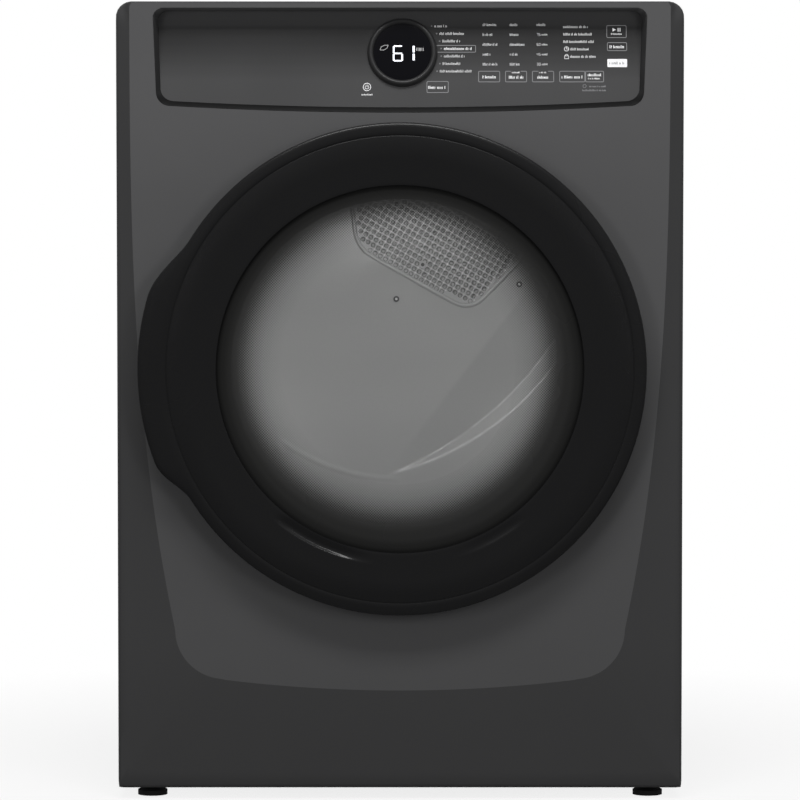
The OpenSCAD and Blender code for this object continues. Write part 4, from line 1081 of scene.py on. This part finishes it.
def build_screw_faces():
    """Drive faces of the screws in the drum's rear wall and of those in the inlet plate."""
    stores = {"dark": ([], []), "light": ([], []), "plate": ([], [])}

    def disc(tone, x, z, y, rows):
        points, faces = stores[tone]
        start = len(points)
        for r, out in rows:
            points += [(u, y - out * MM, v) for u, v in circle(x, z, r * MM, 20)]
        faces.append(tuple(range(start, start + 20)))
        faces += grid_faces(len(rows), 20, False, True, start)

    for x, z in ((-5 * MM, 589 * MM), (163 * MM, 609 * MM)):
        disc("dark", x, z, Y_WALL - 3 * MM, ((2.2, 0.1), (4.0, 0.15), (4.1, -0.4)))
        # a light cone in the middle of each head, in the painted-highlight tone
        disc("light", x, z, Y_WALL - 3 * MM, ((0.8, 0.7), (1.7, 0.2)))
    for x, z in ((-44, -32), (96, -10), (-118, 66)):
        place = (INLET_X + x * MM, INLET_Z + z * MM, Y_WALL - 5 * MM)
        disc("plate", *place, ((2.2, 0.1), (5.0, 0.12), (5.1, -0.6)))
        disc("dark", *place, ((0.8, 0.3), (2.4, 0.18)))
    for tone, mat in (("dark", SCREW_DARK), ("light", CROWN_GLINT), ("plate", ENAMEL)):
        piece("screw_faces_" + tone, *stores[tone], mat, "cabinet", "drum_steel", smooth=False)


build_wall()
build_inlet_plate()
build_screw_faces()

# ---------------------------------------------------------------- finishes of the CAD parts
FINISHES = (
    (SIDE_PAINT, ("side_panel_left", "side_panel_right", "top_panel")),
    (GALVANISED, ("rear_panel", "base_pan", "heater_housing", "motor_bracket", "exhaust_duct",
                  "terminal_cover", "idler_arm")),
    (BOARD, ("control_boards",)),
    (ENAMEL, ("front_bulkhead", "drum_baffles")),
    (WHITE_PLASTIC, ("drum_glides", "water_valve", "latch_catch", "door_switch", "blower_wheel",
                     "idler_pulley", "lint_filter")),
    (FELT, ("drum_seals",)),
    (STEEL, ("roller_shafts", "moisture_sensors", "hinge_bracket", "idler_spring", "motor_shaft",
             "door_hinge_arm", "door_strike")),
    (HEATER_WIRE, ("heater_coils",)),
    (BLACK_PLASTIC, ("thermostats", "steam_tube", "spray_nozzle", "switch_plunger")),
    (MOTOR, ("motor_body",)),
    (DUCT, ("blower_housing", "lint_duct")),
    (RUBBER, ("drive_belt", "roller_left", "roller_right")),
    (LAMP, ("drum_light",)),
    (SCREW, ("cabinet_screws",)),
    (DRUM_STEEL, ("drum_shell",)),
    (LINER, ("door_liner",)),
    (SEAL, ("door_seal",)),
    (MESH, ("lint_screen",)),
    (FEET, ("foot_front_left", "foot_front_right", "foot_rear_left", "foot_rear_right")),
)
for finish, node_names in FINISHES:
    for node_name in node_names:
        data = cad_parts[node_name].data
        data.materials.clear()
        data.materials.append(finish)

# ---------------------------------------------------------------- floor, world, lights, camera
def build_stage():
    """A pale floor that fades out into the white backdrop a step away from the dryer."""
    floor_mat = bpy.data.materials.new("studio floor")
    floor_mat.use_nodes = True
    nodes, links = floor_mat.node_tree.nodes, floor_mat.node_tree.links
    bsdf = nodes["Principled BSDF"]
    socket(bsdf, "Base Color", (0.97, 0.97, 0.97, 1.0))
    socket(bsdf, "Roughness", 0.9)
    clear = nodes.new("ShaderNodeBsdfTransparent")
    place = nodes.new("ShaderNodeTexCoord")
    away = nodes.new("ShaderNodeVectorMath")
    away.operation = "LENGTH"
    links.new(place.outputs["Object"], away.inputs[0])
    fade = map_range(nodes, links, away.outputs["Value"], 0.3, 1.1, 0.82, 1.0)
    blend = nodes.new("ShaderNodeMixShader")
    links.new(fade, blend.inputs[0])
    links.new(bsdf.outputs[0], blend.inputs[1])
    links.new(clear.outputs[0], blend.inputs[2])
    links.new(blend.outputs[0], nodes["Material Output"].inputs["Surface"])
    half = 2.0
    mesh = bpy.data.meshes.new("studio_floor")
    mesh.from_pydata([(-half, -half, 0), (half, -half, 0), (half, half, 0), (-half, half, 0)], [],
                     [(0, 1, 2, 3)])
    mesh.materials.append(floor_mat)
    floor = bpy.data.objects.new("studio_floor", mesh)
    bpy.context.scene.collection.objects.link(floor)


def build_world():
    """White behind the dryer, a soft grey fill, and a gentle fall from sky to ground for gloss."""
    world = bpy.data.worlds.new("studio")
    bpy.context.scene.world = world
    world.use_nodes = True
    nodes, links = world.node_tree.nodes, world.node_tree.links
    seen = nodes["Background"]
    socket(seen, "Color", (1.0, 1.0, 1.0, 1.0))
    socket(seen, "Strength", 1.0)
    fill = nodes.new("ShaderNodeBackground")
    socket(fill, "Strength", WORLD_FILL)
    gloss = nodes.new("ShaderNodeBackground")
    place = nodes.new("ShaderNodeTexCoord")
    split = nodes.new("ShaderNodeSeparateXYZ")
    links.new(place.outputs["Generated"], split.inputs["Vector"])
    strength = map_range(nodes, links, split.outputs["Z"], -0.5, 0.5, GLOSS_GROUND, GLOSS_SKY)
    links.new(strength, gloss.inputs["Strength"])
    ray = nodes.new("ShaderNodeLightPath")
    lit = nodes.new("ShaderNodeMixShader")
    links.new(ray.outputs["Is Glossy Ray"], lit.inputs[0])
    links.new(fill.outputs[0], lit.inputs[1])
    links.new(gloss.outputs[0], lit.inputs[2])
    blend = nodes.new("ShaderNodeMixShader")
    links.new(ray.outputs["Is Camera Ray"], blend.inputs[0])
    links.new(lit.outputs[0], blend.inputs[1])
    links.new(seen.outputs[0], blend.inputs[2])
    links.new(blend.outputs[0], nodes["World Output"].inputs["Surface"])


def aim(obj, location, target):
    """Puts a light or the camera in place, looking at a point."""
    obj.location = location
    obj.rotation_mode = "QUATERNION"
    obj.rotation_quaternion = (Vector(target) - Vector(location)).to_track_quat("-Z", "Y")
    bpy.context.scene.collection.objects.link(obj)


def area_light(name, location, target, size, power):
    light = bpy.data.lights.new(name, "AREA")
    light.shape = "RECTANGLE"
    light.size, light.size_y = size
    light.energy = power
    obj = bpy.data.objects.new(name, light)
    aim(obj, location, target)
    return obj


def build_camera():
    data = bpy.data.cameras.new("camera")
    data.lens = CAMERA_LENS
    data.sensor_width = 36.0
    data.clip_end = 200.0
    obj = bpy.data.objects.new("camera", data)
    aim(obj, (0.0, CAMERA_Y, CAMERA_Z), (0.0, Y_FACE, CAMERA_AIM_Z))
    bpy.context.scene.camera = obj


build_stage()
build_world()
area_light("top light", (0.0, -0.8, 3.4), (0.0, -0.1, 0.5), (3.2, 2.0), 9.0)
area_light("front light", (0.0, -3.3, 4.5), (0.0, -0.3, 0.5), (3.4, 1.2), 120.0)
for side_name, side_x in (("left light", -2.1), ("right light", 2.1)):
    fill_light = area_light(side_name, (side_x, -4.9, 1.3), (0.0, -0.3, 0.5), (0.9, 1.5), 46.0)
    fill_light.visible_glossy = False
area_light("drum lamp", (0.0, -0.20, 0.72), (0.0, 0.25, 0.50), (0.28, 0.10), 1.0)
build_camera()
bpy.context.scene.view_settings.view_transform = "Standard"
